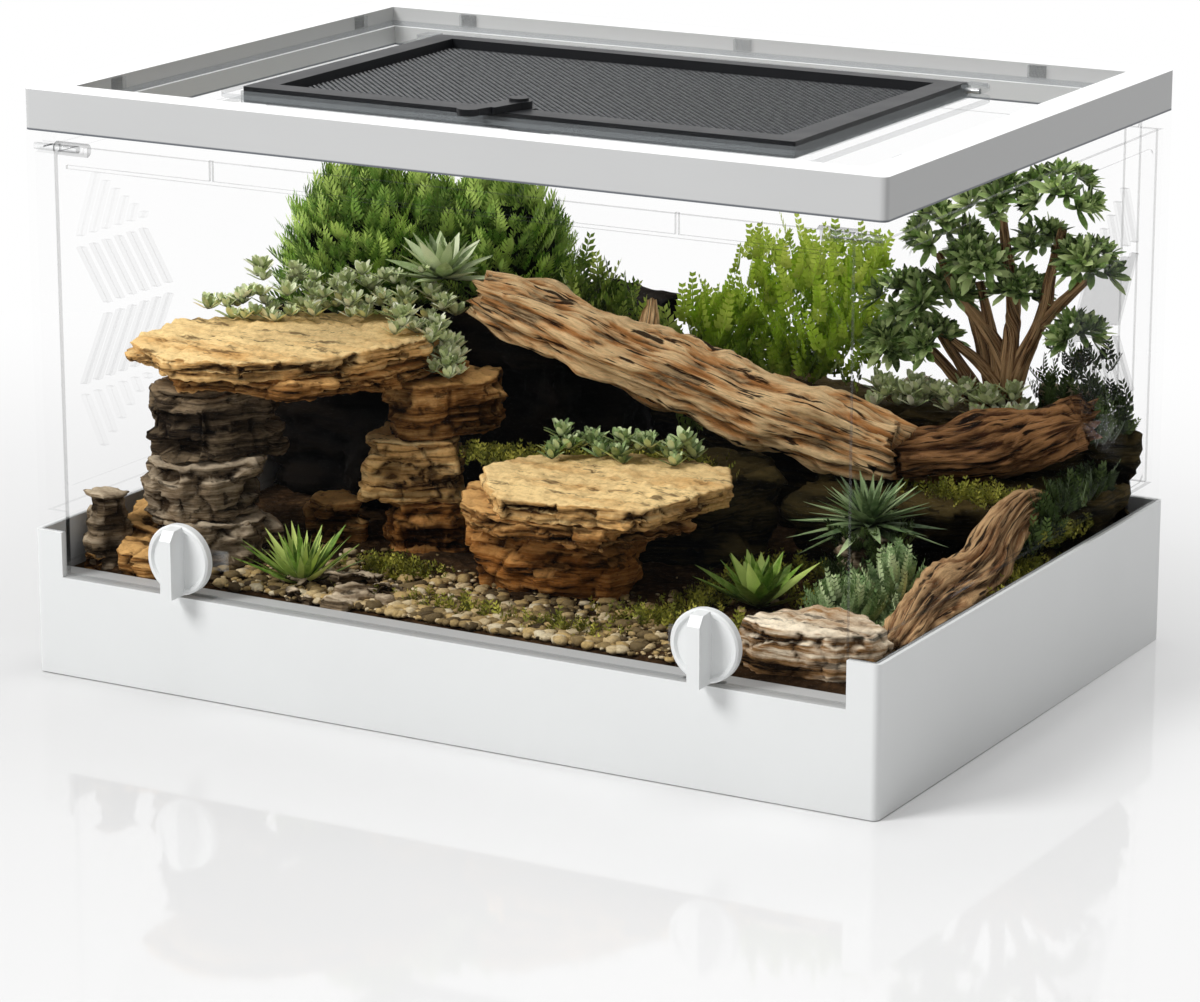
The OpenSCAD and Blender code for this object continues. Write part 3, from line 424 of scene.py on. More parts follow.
def moss(name, dark, light):
    """Dense moss with darker patches."""
    dark, light = screen(dark, light)
    finish = Finish(name, 0.95, 0.04)
    tufts = finish.noise(260.0, 6.0, rough=0.7)
    patch = finish.noise(45.0, 4.0)
    tone = finish.ramp(tufts, [(0.35, dark), (0.65, light)])
    finish.color(finish.mix(finish.span(patch, 0.4, 0.7, 0.0, 0.6), tone, dark))
    finish.bump(tufts, 0.002, 0.9)
    return finish.material


def mesh_wire():
    """Black coated wire of slightly uneven depth."""
    finish = Finish("mesh_wire", 0.34)
    tone = finish.noise(300.0, 2.0)
    finish.color(finish.ramp(tone, [(0.3, (0.035, 0.037, 0.04, 1)), (0.7, (0.105, 0.11, 0.115, 1))]))
    return finish.material


def pebble_stone():
    """Small stones, each in a tone of its own, with dark specks."""
    finish = Finish("pebble_stone", 0.7, 0.12)
    tones = screen((62, 50, 34), (136, 116, 78), (190, 162, 108), (214, 200, 168))
    tone = finish.ramp(finish.attribute("tint"), list(zip((0.0, 0.35, 0.65, 1.0), tones)))
    speck = finish.noise(700.0, 4.0)
    grit = finish.ramp(speck, [(0.3, (0.45, 0.42, 0.4, 1)), (0.6, (1, 1, 1, 1))])
    finish.color(finish.mix(0.6, tone, grit, "MULTIPLY"))
    finish.bump(speck, 0.0005, 0.6)
    return finish.material


def floor_white():
    """Glossy pale floor, painted darker on the left as painted shade, that turns into glowing white away
    from the tank.
    """
    finish = Finish("floor_white", 0.045, 0.14)
    # Darker towards the left: painted shade on the floor.
    finish.color(finish.span(finish.axes(finish.coords)["X"], -0.35, 0.4, 0.64, 0.8))
    away = finish.add("ShaderNodeVectorMath", operation="DISTANCE")
    away.inputs[1].default_value = (0.0, -0.3, 0.0)
    finish.link(finish.coords, away.inputs[0])
    far = finish.span(away.outputs["Value"], 0.28, 0.95)
    glow = finish.add("ShaderNodeEmission")
    mixed = finish.add("ShaderNodeMixShader")
    finish.link(far, mixed.inputs["Fac"])
    finish.link(finish.shader.outputs["BSDF"], mixed.inputs[1])
    finish.link(glow.outputs["Emission"], mixed.inputs[2])
    finish.link(mixed.outputs["Shader"], finish.tree.nodes["Material Output"].inputs["Surface"])
    return finish.material


# Shared modelling steps


def deselect():
    """Clears the selection, so that the next step acts on new work only."""
    for thing in bpy.context.selected_objects:
        thing.select_set(False)


def pick(piece):
    """Makes one piece the selected and active one."""
    deselect()
    piece.select_set(True)
    bpy.context.view_layer.objects.active = piece


def put(name, data):
    """Adds an object to the scene."""
    thing = bpy.data.objects.new(name, data)
    bpy.context.scene.collection.objects.link(thing)
    return thing


def apply_all(piece):
    """Applies every modifier of a piece."""
    pick(piece)
    for step in list(piece.modifiers):
        bpy.ops.object.modifier_apply(modifier=step.name)


def place_in_mesh(piece):
    """Moves a piece's place, turn and scale into its mesh."""
    pick(piece)
    bpy.ops.object.transform_apply(location=True, rotation=True, scale=True)


def smooth(piece):
    """Shades a piece smoothly."""
    pick(piece)
    bpy.ops.object.shade_smooth()


def dress(piece, material, stands_for=(), body=TANK):
    """Gives a piece its material, its body and the CAD nodes that it replaces."""
    piece.data.materials.clear()
    piece.data.materials.append(material)
    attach(piece, body)
    if stands_for:
        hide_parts(*stands_for)


def finish_node(node, material):
    """Puts a finish on a CAD node that keeps its own shape."""
    mesh = NODES[node].data
    mesh.materials.clear()
    mesh.materials.append(material)


def copy_of(name, node):
    """A new piece that starts as the closed shape of a CAD node."""
    piece = put(name, NODES[node].data.copy())
    pick(piece)
    bpy.ops.object.mode_set(mode="EDIT")
    bpy.ops.mesh.select_all(action="SELECT")
    bpy.ops.mesh.remove_doubles(threshold=0.00001)
    bpy.ops.object.mode_set(mode="OBJECT")
    return piece


def remesh(piece, voxel):
    """Rebuilds a piece from small even faces."""
    step = piece.modifiers.new("voxels", "REMESH")
    step.mode = "VOXEL"
    step.voxel_size = voxel
    apply_all(piece)


def relax(piece, repeat):
    """Softens a piece's corners."""
    step = piece.modifiers.new("relax", "SMOOTH")
    step.factor = 0.5
    step.iterations = repeat
    apply_all(piece)


def read_points(mesh):
    """A mesh's points and the ways that they face."""
    places = np.empty(len(mesh.vertices) * 3)
    mesh.vertices.foreach_get("co", places)
    directions = np.empty(len(mesh.vertices) * 3)
    mesh.vertices.foreach_get("normal", directions)
    return places.reshape(-1, 3), directions.reshape(-1, 3)


def write_points(mesh, places):
    """Moves a mesh's points, and stops them at the tank's walls."""
    places = np.clip(places, INSIDE_LOW, INSIDE_HIGH)
    mesh.vertices.foreach_set("co", places.reshape(-1))
    mesh.update()


def keep_relief(mesh, relief):
    """Stores how far each point stands out, for materials that paint shade into the hollows and highlight
    onto what stands out.
    """
    layer = mesh.attributes.new("relief", "FLOAT", "POINT")
    layer.data.foreach_set("value", np.clip(relief, 0, 1))


def weather(piece, seed, ledge, layer, rough=0.0012, lump=0.003, block=0.0015):
    """Carves a smooth solid into broken, layered stone.

    Ledge is how far the layers step in and out, layer is their height, and rough, lump and block
    are the heights of the grain, of the soft swellings and of the cracked blocks.
    """
    mesh = piece.data
    places, directions = read_points(mesh)
    moved = places.copy()
    relief = np.empty(len(places))
    for index, (place, normal) in enumerate(zip(places, directions)):
        x, y, z = place
        # The layer that the point lies in, and how far that layer stands out there
        drift = noise.noise((x * 22, y * 22, seed)) * layer * 1.6
        level = math.floor((z + drift) / layer)
        step = noise.noise((x * 26 + seed, y * 26, level * 3.7 + seed))
        notch = noise.noise((x * 85, y * 85, level * 5.1 + seed))
        side = math.hypot(normal[0], normal[1])
        # Soft swellings, fine grain, and blocks with cracks between them
        swell = noise.noise((x * 34 + seed, y * 34, z * 34)) * lump
        grain = noise.fractal((x * 210, y * 210, z * 210 + seed), 0.9, 2.1, 3) * rough
        reach, centres = noise.voronoi((x * 46 + seed, y * 46, z * 80 + step * 0.5))
        shift = noise.cell(centres[0] * 9.7) - 0.5
        crack = max(0.0, 1 - (reach[1] - reach[0]) / 0.1)
        push = swell * (0.35 + 0.65 * side) + grain + side * ledge * (step * 0.8 + notch * 0.45)
        crack *= 0.25 + 0.75 * side
        push += block * (shift * (0.3 + 1.5 * side) - crack * 0.9)
        moved[index] = place + normal * push
        # Relief for the painted shade in hollows and cracks and the painted highlight on what stands out.
        relief[index] = 0.5 + push / (2.4 * ledge + 0.002) - 0.22 * crack
    write_points(mesh, moved)
    keep_relief(mesh, relief)


def rounded_block(roundness):
    """A small uneven stone: its points, 1 unit from the middle, and its faces."""
    deselect()
    bpy.ops.mesh.primitive_cube_add(size=2)
    stone = bpy.context.object
    bpy.ops.object.mode_set(mode="EDIT")
    bpy.ops.mesh.subdivide(number_cuts=1)
    bpy.ops.transform.tosphere(value=roundness)
    bpy.ops.object.mode_set(mode="OBJECT")
    points = np.array([vertex.co[:] for vertex in stone.data.vertices])
    for point in points:
        point *= 0.8 + 0.25 * noise.noise(tuple(point * 1.3))
    faces = [tuple(face.vertices) for face in stone.data.polygons]
    bpy.data.objects.remove(stone)
    return points, faces


def rounded_path(points, radii, rounds=3):
    """Cuts the corners of a path and of its radii until both run smoothly."""
    line = [np.array([*point, radius], float) for point, radius in zip(points, radii)]
    for _ in range(rounds):
        cut = [line[0]]
        for first, second in zip(line, line[1:]):
            cut += [first * 0.75 + second * 0.25, first * 0.25 + second * 0.75]
        line = cut + [line[-1]]
    return [Vector(row[:3]) for row in line], [float(row[3]) for row in line]


def ringed_cylinder(name, sides, rings):
    """A closed cylinder, one unit high, with rings of points all along it."""
    deselect()
    bpy.ops.mesh.primitive_cylinder_add(vertices=sides, radius=1, depth=1, end_fill_type="TRIFAN")
    piece = bpy.context.object
    piece.name = name
    bpy.ops.object.mode_set(mode="EDIT")
    bpy.ops.mesh.select_mode(type="EDGE")
    bpy.ops.mesh.select_all(action="DESELECT")
    bpy.ops.object.mode_set(mode="OBJECT")
    for edge in piece.data.edges:
        low, high = (piece.data.vertices[i].co for i in edge.vertices)
        edge.select = abs(low.z - high.z) > 0.5
    bpy.ops.object.mode_set(mode="EDIT")
    bpy.ops.mesh.subdivide(number_cuts=rings)
    bpy.ops.mesh.select_mode(type="VERT")
    bpy.ops.object.mode_set(mode="OBJECT")
    return piece


def wrap_grain(mesh, turns):
    """Lays the grain's UV map round a limb, without a jump where the turn closes.

    Turns holds each point's share of a turn and its way along the limb in metres.
    """
    layer = mesh.uv_layers.new(name="grain")
    for face in mesh.polygons:
        angles = [turns[index][0] for index in face.vertices]
        for corner, angle in zip(face.loop_indices, angles):
            if max(angles) - angle > 0.5:
                angle += 1.0
            layer.data[corner].uv = (angle, turns[mesh.loops[corner].vertex_index][1] * 10)


def limb(name, path, radii, seed, ridge=0.26, sides=80, rings=190):
    """A weathered limb that follows a path: ridged lengthwise, split, knotted and ragged at its ends."""
    piece = ringed_cylinder(name, sides, rings)
    mesh = piece.data
    path, radii = rounded_path(path, radii)
    points = [point * MM for point in path]
    spans = [0.0]
    for first, second in zip(points, points[1:]):
        spans.append(spans[-1] + (second - first).length)
    total = spans[-1]

    def reached(distance):
        """The path's point at a distance from its start."""
        return Vector([float(np.interp(distance, spans, [point[axis] for point in points]))
                       for axis in range(3)])

    turns = {}
    relief = np.empty(len(mesh.vertices))
    for vertex in mesh.vertices:
        share = min(1.0, max(0.0, vertex.co.z + 0.5))
        angle = math.atan2(vertex.co.y, vertex.co.x)
        out = math.hypot(vertex.co.x, vertex.co.y)
        run = share * total
        place = reached(run)
        wide = float(np.interp(run, spans, radii)) * MM
        way = (reached(run + total * 0.03) - reached(run - total * 0.03)).normalized()
        across = way.cross(Vector((0, 0, 1))).normalized()
        above = across.cross(way)
        ring = (math.cos(angle), math.sin(angle))
        # Grooves and splits run along the limb, and knots and burrs swell it here and there
        groove = noise.fractal((ring[0] * 3.4 + seed, ring[1] * 3.4, run * 22), 0.75, 2.2, 4)
        split = noise.noise((ring[0] * 5.2, ring[1] * 5.2 + seed, run * 24))
        split = -max(0.0, 1 - abs(split) / 0.12)
        knot = noise.noise((ring[0] * 1.3, ring[1] * 1.3 + seed, run * 30))
        burr = noise.noise((ring[0] * 2.6, ring[1] * 2.6 + seed, run * 75))
        size = wide * (1 + ridge * groove + 0.13 * split + 0.34 * knot + 0.13 * burr)
        sway = (noise.noise((run * 18, seed, 0)), noise.noise((run * 18, seed, 9)))
        place = place + (across * sway[0] + above * sway[1]) * wide * 0.35
        ragged = 0.0
        if share in (0.0, 1.0):
            ragged = noise.noise((ring[0] * 5, ring[1] * 5, seed)) * wide * 0.9
        turns[vertex.index] = (angle / math.tau, run)
        # Relief that the bark turns into painted shade in the splits and painted highlight on the ridges.
        relief[vertex.index] = 0.5 + 0.5 * groove + 0.5 * split + 0.3 * burr
        vertex.co = place + (across * ring[0] + above * ring[1]) * size * out + way * ragged * out
    wrap_grain(mesh, turns)
    write_points(mesh, read_points(mesh)[0])
    keep_relief(mesh, relief)
    smooth(piece)
    return piece


# Leaves


def leaf_shape(length, width, rows=5, curl=0.3, fold=0.25, wide_at=0.4, tip=0.04):
    """One leaf, shaped from a grid: a list of points along +Y, and its faces."""
    deselect()
    bpy.ops.mesh.primitive_grid_add(x_subdivisions=2, y_subdivisions=rows, size=1)
    leaf = bpy.context.object
    points = []
    for vertex in leaf.data.vertices:
        along = vertex.co.y + 0.5
        if along < wide_at:
            half = 0.45 + 0.55 * math.sin(along / wide_at * math.pi / 2)
        else:
            half = max(tip, math.cos((along - wide_at) / (1 - wide_at) * math.pi / 2))
        x = vertex.co.x * width * half
        rise = math.sin(along * math.pi * 0.5) * curl * length * along
        points.append((x, along * length, rise + abs(x) * fold))
    faces = [tuple(face.vertices) for face in leaf.data.polygons]
    bpy.data.objects.remove(leaf)
    return np.array(points), faces


def sprig_shape(length, leaflets, leaf_length, leaf_width, angle=55, droop=0.1):
    """A stem with leaflets on both sides at an angle in degrees, narrower towards its tip."""
    points, faces = [], []
    half = math.radians(angle)
    for index in range(leaflets):
        share = (index + 0.5) / leaflets
        start = np.array([0, share * length, droop * length * share ** 2])
        size = 1.0 - 0.55 * share
        for side in (-1, 1):
            turn = half * (1 - 0.45 * share)
            way = np.array([side * math.sin(turn), math.cos(turn), 0.32])
            across = np.array([-way[1], way[0], 0]) * leaf_width * size * 0.5
            base = len(points)
            middle = start + way * leaf_length * size * 0.5
            points += [start, middle + across, start + way * leaf_length * size, middle - across]
            faces.append((base, base + 1, base + 2, base + 3))
    base = len(points)
    stem = leaf_width * 0.18
    top = np.array([0, length, droop * length])
    points += [np.array([-stem, 0, 0]), np.array([stem, 0, 0]), top]
    faces.append((base, base + 1, base + 2))
    return np.array(points), faces


def turned(yaw, pitch, roll=0.0):
    """Rotation that leans +Y up by pitch, after a roll, and then turns it by yaw about Z."""
    cy, sy = math.cos(yaw), math.sin(yaw)
    cp, sp = math.cos(pitch), math.sin(pitch)
    cr, sr = math.cos(roll), math.sin(roll)
    spin = np.array([[cy, -sy, 0], [sy, cy, 0], [0, 0, 1]])
    lean = np.array([[1, 0, 0], [0, cp, -sp], [0, sp, cp]])
    twist = np.array([[cr, 0, sr], [0, 1, 0], [-sr, 0, cr]])
    return spin @ lean @ twist


def towards(direction, roll):
    """Rotation that points +Y along a direction."""
    x, y, z = direction / np.linalg.norm(direction)
    return turned(math.atan2(-x, y), math.asin(max(-1.0, min(1.0, z))), roll)


def rosette_leaves(centre, leaves, low, high, size, chance, lean=None):
    """Places for the leaves of one rosette, whose pitch goes from low outside to high inside."""
    tilt = lean if lean is not None else np.eye(3)
    golden = math.pi * (3 - math.sqrt(5))
    places = []
    for index in range(leaves):
        share = index / max(1, leaves - 1)
        pitch = math.radians(low + (high - low) * share + chance.uniform(-6, 6))
        scale = size * (1.0 - 0.45 * share) * chance.uniform(0.88, 1.08)
        spin = turned(index * golden + chance.uniform(-0.15, 0.15), pitch, chance.uniform(-0.2, 0.2))
        places.append((np.array(centre), tilt @ spin, scale, chance.random()))
    return places


def sprout(spot, aim, chance, low, high, roll=1.0):
    """Place of one sprig: where it starts, its turn, its size and its tone."""
    return (np.array(spot), towards(np.array(aim), chance.uniform(-roll, roll)),
            chance.uniform(low, high), chance.random())


def spread(name, shape, places):
    """Copies one shape to every place and joins the copies into one piece."""
    points, faces = shape
    count = len(points)
    reach = max(1e-9, points[:, 1].max())
    all_points = np.empty((len(places) * count, 3))
    tint = np.empty(len(places) * count)
    along = np.tile(np.clip(points[:, 1] / reach, 0, 1), len(places))
    all_faces = []
    for index, (centre, spin, scale, tone) in enumerate(places):
        base = index * count
        all_points[base:base + count] = points @ spin.T * scale + centre
        tint[base:base + count] = tone
        all_faces += [tuple(base + corner for corner in face) for face in faces]
    mesh = bpy.data.meshes.new(name)
    all_points = np.clip(all_points * MM, INSIDE_LOW, INSIDE_HIGH)
    mesh.from_pydata(all_points.tolist(), [], all_faces)
    mesh.attributes.new("tint", "FLOAT", "POINT").data.foreach_set("value", tint)
    mesh.attributes.new("along", "FLOAT", "POINT").data.foreach_set("value", along)
    piece = put(name, mesh)
    smooth(piece)
    return piece


def grow(name, shape, places, material, stands_for=()):
    """Leaves of one shape at every place, as one finished plant piece."""
    dress(spread(name, shape, places), material, stands_for)


def dome_way(chance, low):
    """A random way out of a dome's middle, from a lowest level up to its top."""
    turn = chance.uniform(0, math.tau)
    level = chance.uniform(low, 1.0)
    out = math.sqrt(max(0.0, 1 - level * level))
    return np.array([math.cos(turn) * out, math.sin(turn) * out, level])


def dome_places(centre, radius, height, count, size, chance, low=0.0):
    """Places all over a dome, with the leaves standing outwards and up."""
    places = []
    for _ in range(count):
        way = dome_way(chance, low)
        depth = chance.uniform(0.72, 1.0)
        spot = np.array(centre) + way * np.array([radius, radius, height]) * depth
        aim = way + np.array([0, 0, chance.uniform(0.25, 1.1)])
        # A leaf's tint falls the deeper it sits in the dome: painted shade, varied at random.
        places.append((spot, towards(aim, chance.uniform(-0.8, 0.8)),
                       size * chance.uniform(0.7, 1.2), min(1, depth * chance.uniform(0.4, 1.2) ** 2)))
    return places


# Stage


class TERRARIUM_OT_stage(bpy.types.Operator):
    """Set up the camera, the lamps, the white surroundings and the floor."""

    bl_idname = "terrarium.stage"
    bl_label = "Stage"

    def execute(self, context):
        self.add_camera(context)
        self.add_world(context)
        self.add_lamps()
        self.add_floor()
        context.scene.view_settings.view_transform = "Standard"
        return {"FINISHED"}

    def add_camera(self, context):
        """A long lens in front of the tank, to its right and above it.

        Its place and lens were fitted to the corners of the tray, the rim and the hatch.
        """
        azimuth, elevation = math.radians(29.53), math.radians(15.11)
        distance = 1.8779
        target = Vector((-0.0028, 0.0, 0.0677))
        back = Vector((math.sin(azimuth) * math.cos(elevation),
                       -math.cos(azimuth) * math.cos(elevation), math.sin(elevation)))
        data = bpy.data.cameras.new("camera")
        data.lens = 131.93
        data.sensor_width = 36.0
        camera = put("camera", data)
        camera.location = target + back * distance
        camera.rotation_euler = (-back).to_track_quat("-Z", "Y").to_euler()
        context.scene.camera = camera

    def add_world(self, context):
        """Soft light, seen as plain white by the lens, by gloss and through clear walls."""
        world = bpy.data.worlds.new("white_room")
        world.use_nodes = True
        tree = world.node_tree
        soft = tree.nodes["Background"]
        soft.inputs["Color"].default_value = (1, 1, 1, 1)
        soft.inputs["Strength"].default_value = 0.3
        white = tree.nodes.new("ShaderNodeBackground")
        white.inputs["Color"].default_value = (1, 1, 1, 1)
        rays = tree.nodes.new("ShaderNodeLightPath").outputs
        seen = rays["Is Camera Ray"]
        for kind in ("Is Glossy Ray", "Is Transmission Ray"):
            either = tree.nodes.new("ShaderNodeMath")
            either.operation = "MAXIMUM"
            tree.links.new(seen, either.inputs[0])
            tree.links.new(rays[kind], either.inputs[1])
            seen = either.outputs["Value"]
        mixed = tree.nodes.new("ShaderNodeMixShader")
        tree.links.new(seen, mixed.inputs["Fac"])
        tree.links.new(soft.outputs["Background"], mixed.inputs[1])
        tree.links.new(white.outputs["Background"], mixed.inputs[2])
        tree.links.new(mixed.outputs["Shader"], tree.nodes["World Output"].inputs["Surface"])
        context.scene.world = world

    def add_lamps(self):
        """A large key lamp at the front left and a top lamp."""
        for name, place, size, power in (
                ("key", (-1.1, -1.7, 1.7), 0.9, 48.0),
                ("top", (0.1, 0.1, 1.9), 1.2, 20.0)):
            data = bpy.data.lights.new(name, "AREA")
            data.size = size
            data.energy = power
            lamp = put(name, data)
            lamp.location = place
            aim = Vector((0, 0, 0.12)) - Vector(place)
            lamp.rotation_euler = aim.to_track_quat("-Z", "Y").to_euler()

    def add_floor(self):
        """A glossy pale floor that keeps the shadow and fades to white further out."""
        deselect()
        bpy.ops.mesh.primitive_circle_add(vertices=96, radius=14, fill_type="NGON",
                                          location=(0, 0, -0.0004))
        floor = bpy.context.object
        floor.name = "floor"
        place_in_mesh(floor)
        floor.data.materials.append(floor_white())


# Enclosure


class TERRARIUM_OT_shell(bpy.types.Operator):
    """Finish the tray, the rim, the clear walls, the knobs and the pins."""

    bl_idname = "terrarium.shell"
    bl_label = "Shell"

    def execute(self, context):
        tray = tray_plastic(settings().tray_color)
        rim = rim_plastic(settings().rim_color)
        for node in ("base_tray", "knob_left", "knob_right"):
            finish_node(node, tray)
        finish_node("top_frame", rim)
        clips = clear_plastic("clear_clips", "Z", face_alpha=0.05, edge_alpha=0.2, tone=0.3)
        finish_node("snap_clips", clips)
        finish_node("left_panel", clear_plastic("clear_left", "XY", face_alpha=0.006, edge_alpha=0.13))
        finish_node("right_panel", clear_plastic("clear_right", "XY", tone=0.04))
        finish_node("front_door", clear_plastic("clear_door", "Y", face_alpha=0.005))
        finish_node("back_panel", clear_plastic("clear_back", "Y"))
        # The lid's light grey edge lines are a painted reflection.
        finish_node("lid_plate", clear_plastic("clear_lid", "Z", face_alpha=0.015, tone=0.34))
        fittings = clear_plastic("clear_fittings", "XYZ", face_alpha=0.07, edge_alpha=0.12, tone=0.4)
        for node in ("door_pins", "cam_left", "cam_right"):
            finish_node(node, fittings)
        metal = steel()
        for node in ("hatch_pins", "cam_screw_left", "cam_screw_right"):
            finish_node(node, metal)
        return {"FINISHED"}


class TERRARIUM_OT_hatch(bpy.types.Operator):
    """Finish the hatch and its latch, and weave the mesh."""

    bl_idname = "terrarium.hatch"
    bl_label = "Hatch"

    def execute(self, context):
        black = hatch_plastic(settings().hatch_color)
        for node in ("mesh_frame", "mesh_retainer", "latch_lever", "latch_cap", "latch_tongue"):
            finish_node(node, black)
        self.weave()
        return {"FINISHED"}

    def weave(self):
        """Weaves three-sided wires over and under each other across the hatch."""
        low, high = (Vector(corner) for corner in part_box("mesh_screen"))
        pitch, wire = settings().weave_pitch, settings().weave_wire
        middle = (low.z + high.z) / 2
        points, faces = [], []

        def strand(start, length, axis, phase):
            """One wire along X or Y, with a crossing at each pitch."""
            steps = int(length / pitch)
            for step in range(steps + 1):
                wave = wire * 0.45 * (1 if (step + phase) % 2 else -1)
                for corner in range(3):
                    turn = corner * math.tau / 3
                    side, rise = math.cos(turn) * wire / 2, math.sin(turn) * wire / 2
                    spot = [0, 0, middle + wave + rise]
                    spot[axis] = low[axis] + step * pitch
                    spot[1 - axis] = start + side
                    points.append(spot)
                if step:
                    base = len(points) - 6
                    for corner in range(3):
                        after = (corner + 1) % 3
                        ring = (base + corner, base + after, base + 3 + after, base + 3 + corner)
                        faces.append(ring if axis else ring[::-1])

        width, depth = high.x - low.x, high.y - low.y
        for index in range(1, int(depth / pitch)):
            strand(low.y + index * pitch, width, 0, index)
        for index in range(1, int(width / pitch)):
            strand(low.x + index * pitch, depth, 1, index + 1)
        mesh = bpy.data.meshes.new("woven_mesh")
        mesh.from_pydata(points, [], faces)
        dress(put("woven_mesh", mesh), mesh_wire(), ["mesh_screen"], HATCH)


# Ground and stone


class TERRARIUM_OT_ground(bpy.types.Operator):
    """Lay the soil, the earth banks, the moss and the pebbles."""

    bl_idname = "terrarium.ground"
    bl_label = "Ground"

    def execute(self, context):
        soil = loose_soil("dark_soil", (28, 20, 12), (70, 52, 34), (120, 95, 66))
        finish_node("substrate_bed", soil)
        self.soil_face(soil)
        bank = sandstone("bank_rock", (78, 66, 36), (44, 38, 20), (8, 7, 4))
        # The bank inside the cave gets a much darker copy of the bank rock: painted shade.
        shade = sandstone("shaded_rock", (26, 20, 13), (14, 10, 7), (4, 3, 2))
        banks = ("rear_bank_left", "rear_bank_right", "centre_bank", "log_cradle")
        for seed, node in enumerate(banks):
            piece = copy_of("earth_" + node, node)
            remesh(piece, 0.0034)
            relax(piece, 4)
            weather(piece, seed * 7.3, ledge=0.009, layer=0.009, rough=0.0022, lump=0.008)
            smooth(piece)
            dress(piece, shade if node == "rear_bank_left" else bank, [node])
        self.moss_beds()
        self.pebble_bed()
        return {"FINISHED"}

    def soil_face(self, soil):
        """Uneven loose soil over the flat bed."""
        margin = 0.004
        low = Vector((SOIL_LOW.x + margin, SOIL_LOW.y + 0.001, SOIL_HIGH.z))
        high = Vector((SOIL_HIGH.x - margin, SOIL_HIGH.y - margin, SOIL_HIGH.z))
        deselect()
        bpy.ops.mesh.primitive_grid_add(x_subdivisions=190, y_subdivisions=130, size=1,
                                        location=(low + high) / 2)
        piece = bpy.context.object
        piece.name = "soil_face"
        piece.scale = (high.x - low.x, high.y - low.y, 1)
        place_in_mesh(piece)
        for vertex in piece.data.vertices:
            x, y, _ = vertex.co
            edge = min(x - low.x, high.x - x, y - low.y, high.y - y) / 0.01
            roll = 0.5 + 0.5 * noise.fractal((x * 40, y * 40, 1.7), 0.9, 2.0, 4)
            crumb = noise.noise((x * 300, y * 300, 5.0))
            vertex.co.z += min(1.0, max(0.0, edge)) * (0.0035 * roll + 0.0008 * crumb) + 0.0002
        smooth(piece)
        dress(piece, soil)

    def moss_beds(self):
        """Soft moss pads."""
        green = moss("moss_green", (44, 48, 14), (134, 130, 44))
        piece = copy_of("moss_pads", "moss_ground")
        remesh(piece, 0.0012)
        relax(piece, 3)
        weather(piece, 3.1, ledge=0.001, layer=0.01, rough=0.0016)
        smooth(piece)
        dress(piece, green, ["moss_ground"])

    def pebble_bed(self):
        """Small rounded stones that thin out towards the back."""
        chance = random.Random(11)
        places = []
        front = SOIL_LOW.y / MM + 5
        for _ in range(settings().pebble_count):
            x = chance.triangular(-150, 130, -20)
            y = front + abs(chance.gauss(0, 30))
            size = chance.choice((0.7, 0.8, 0.9, 1.0, 1.2, 1.5, 2.0, 3.2)) * chance.uniform(0.8, 1.2)
            flat = np.diag([1.0, chance.uniform(0.6, 0.9), chance.uniform(0.35, 0.6)])
            spin = turned(chance.uniform(0, 6.28), chance.uniform(-0.2, 0.2)) @ flat
            places.append((np.array([x, y, GROUND + 2.2 + size * 0.2]), spin, size, chance.random()))
        pebbles = spread("pebble_bed", rounded_block(0.85), places)
        dress(pebbles, pebble_stone(), ["pebbles"])


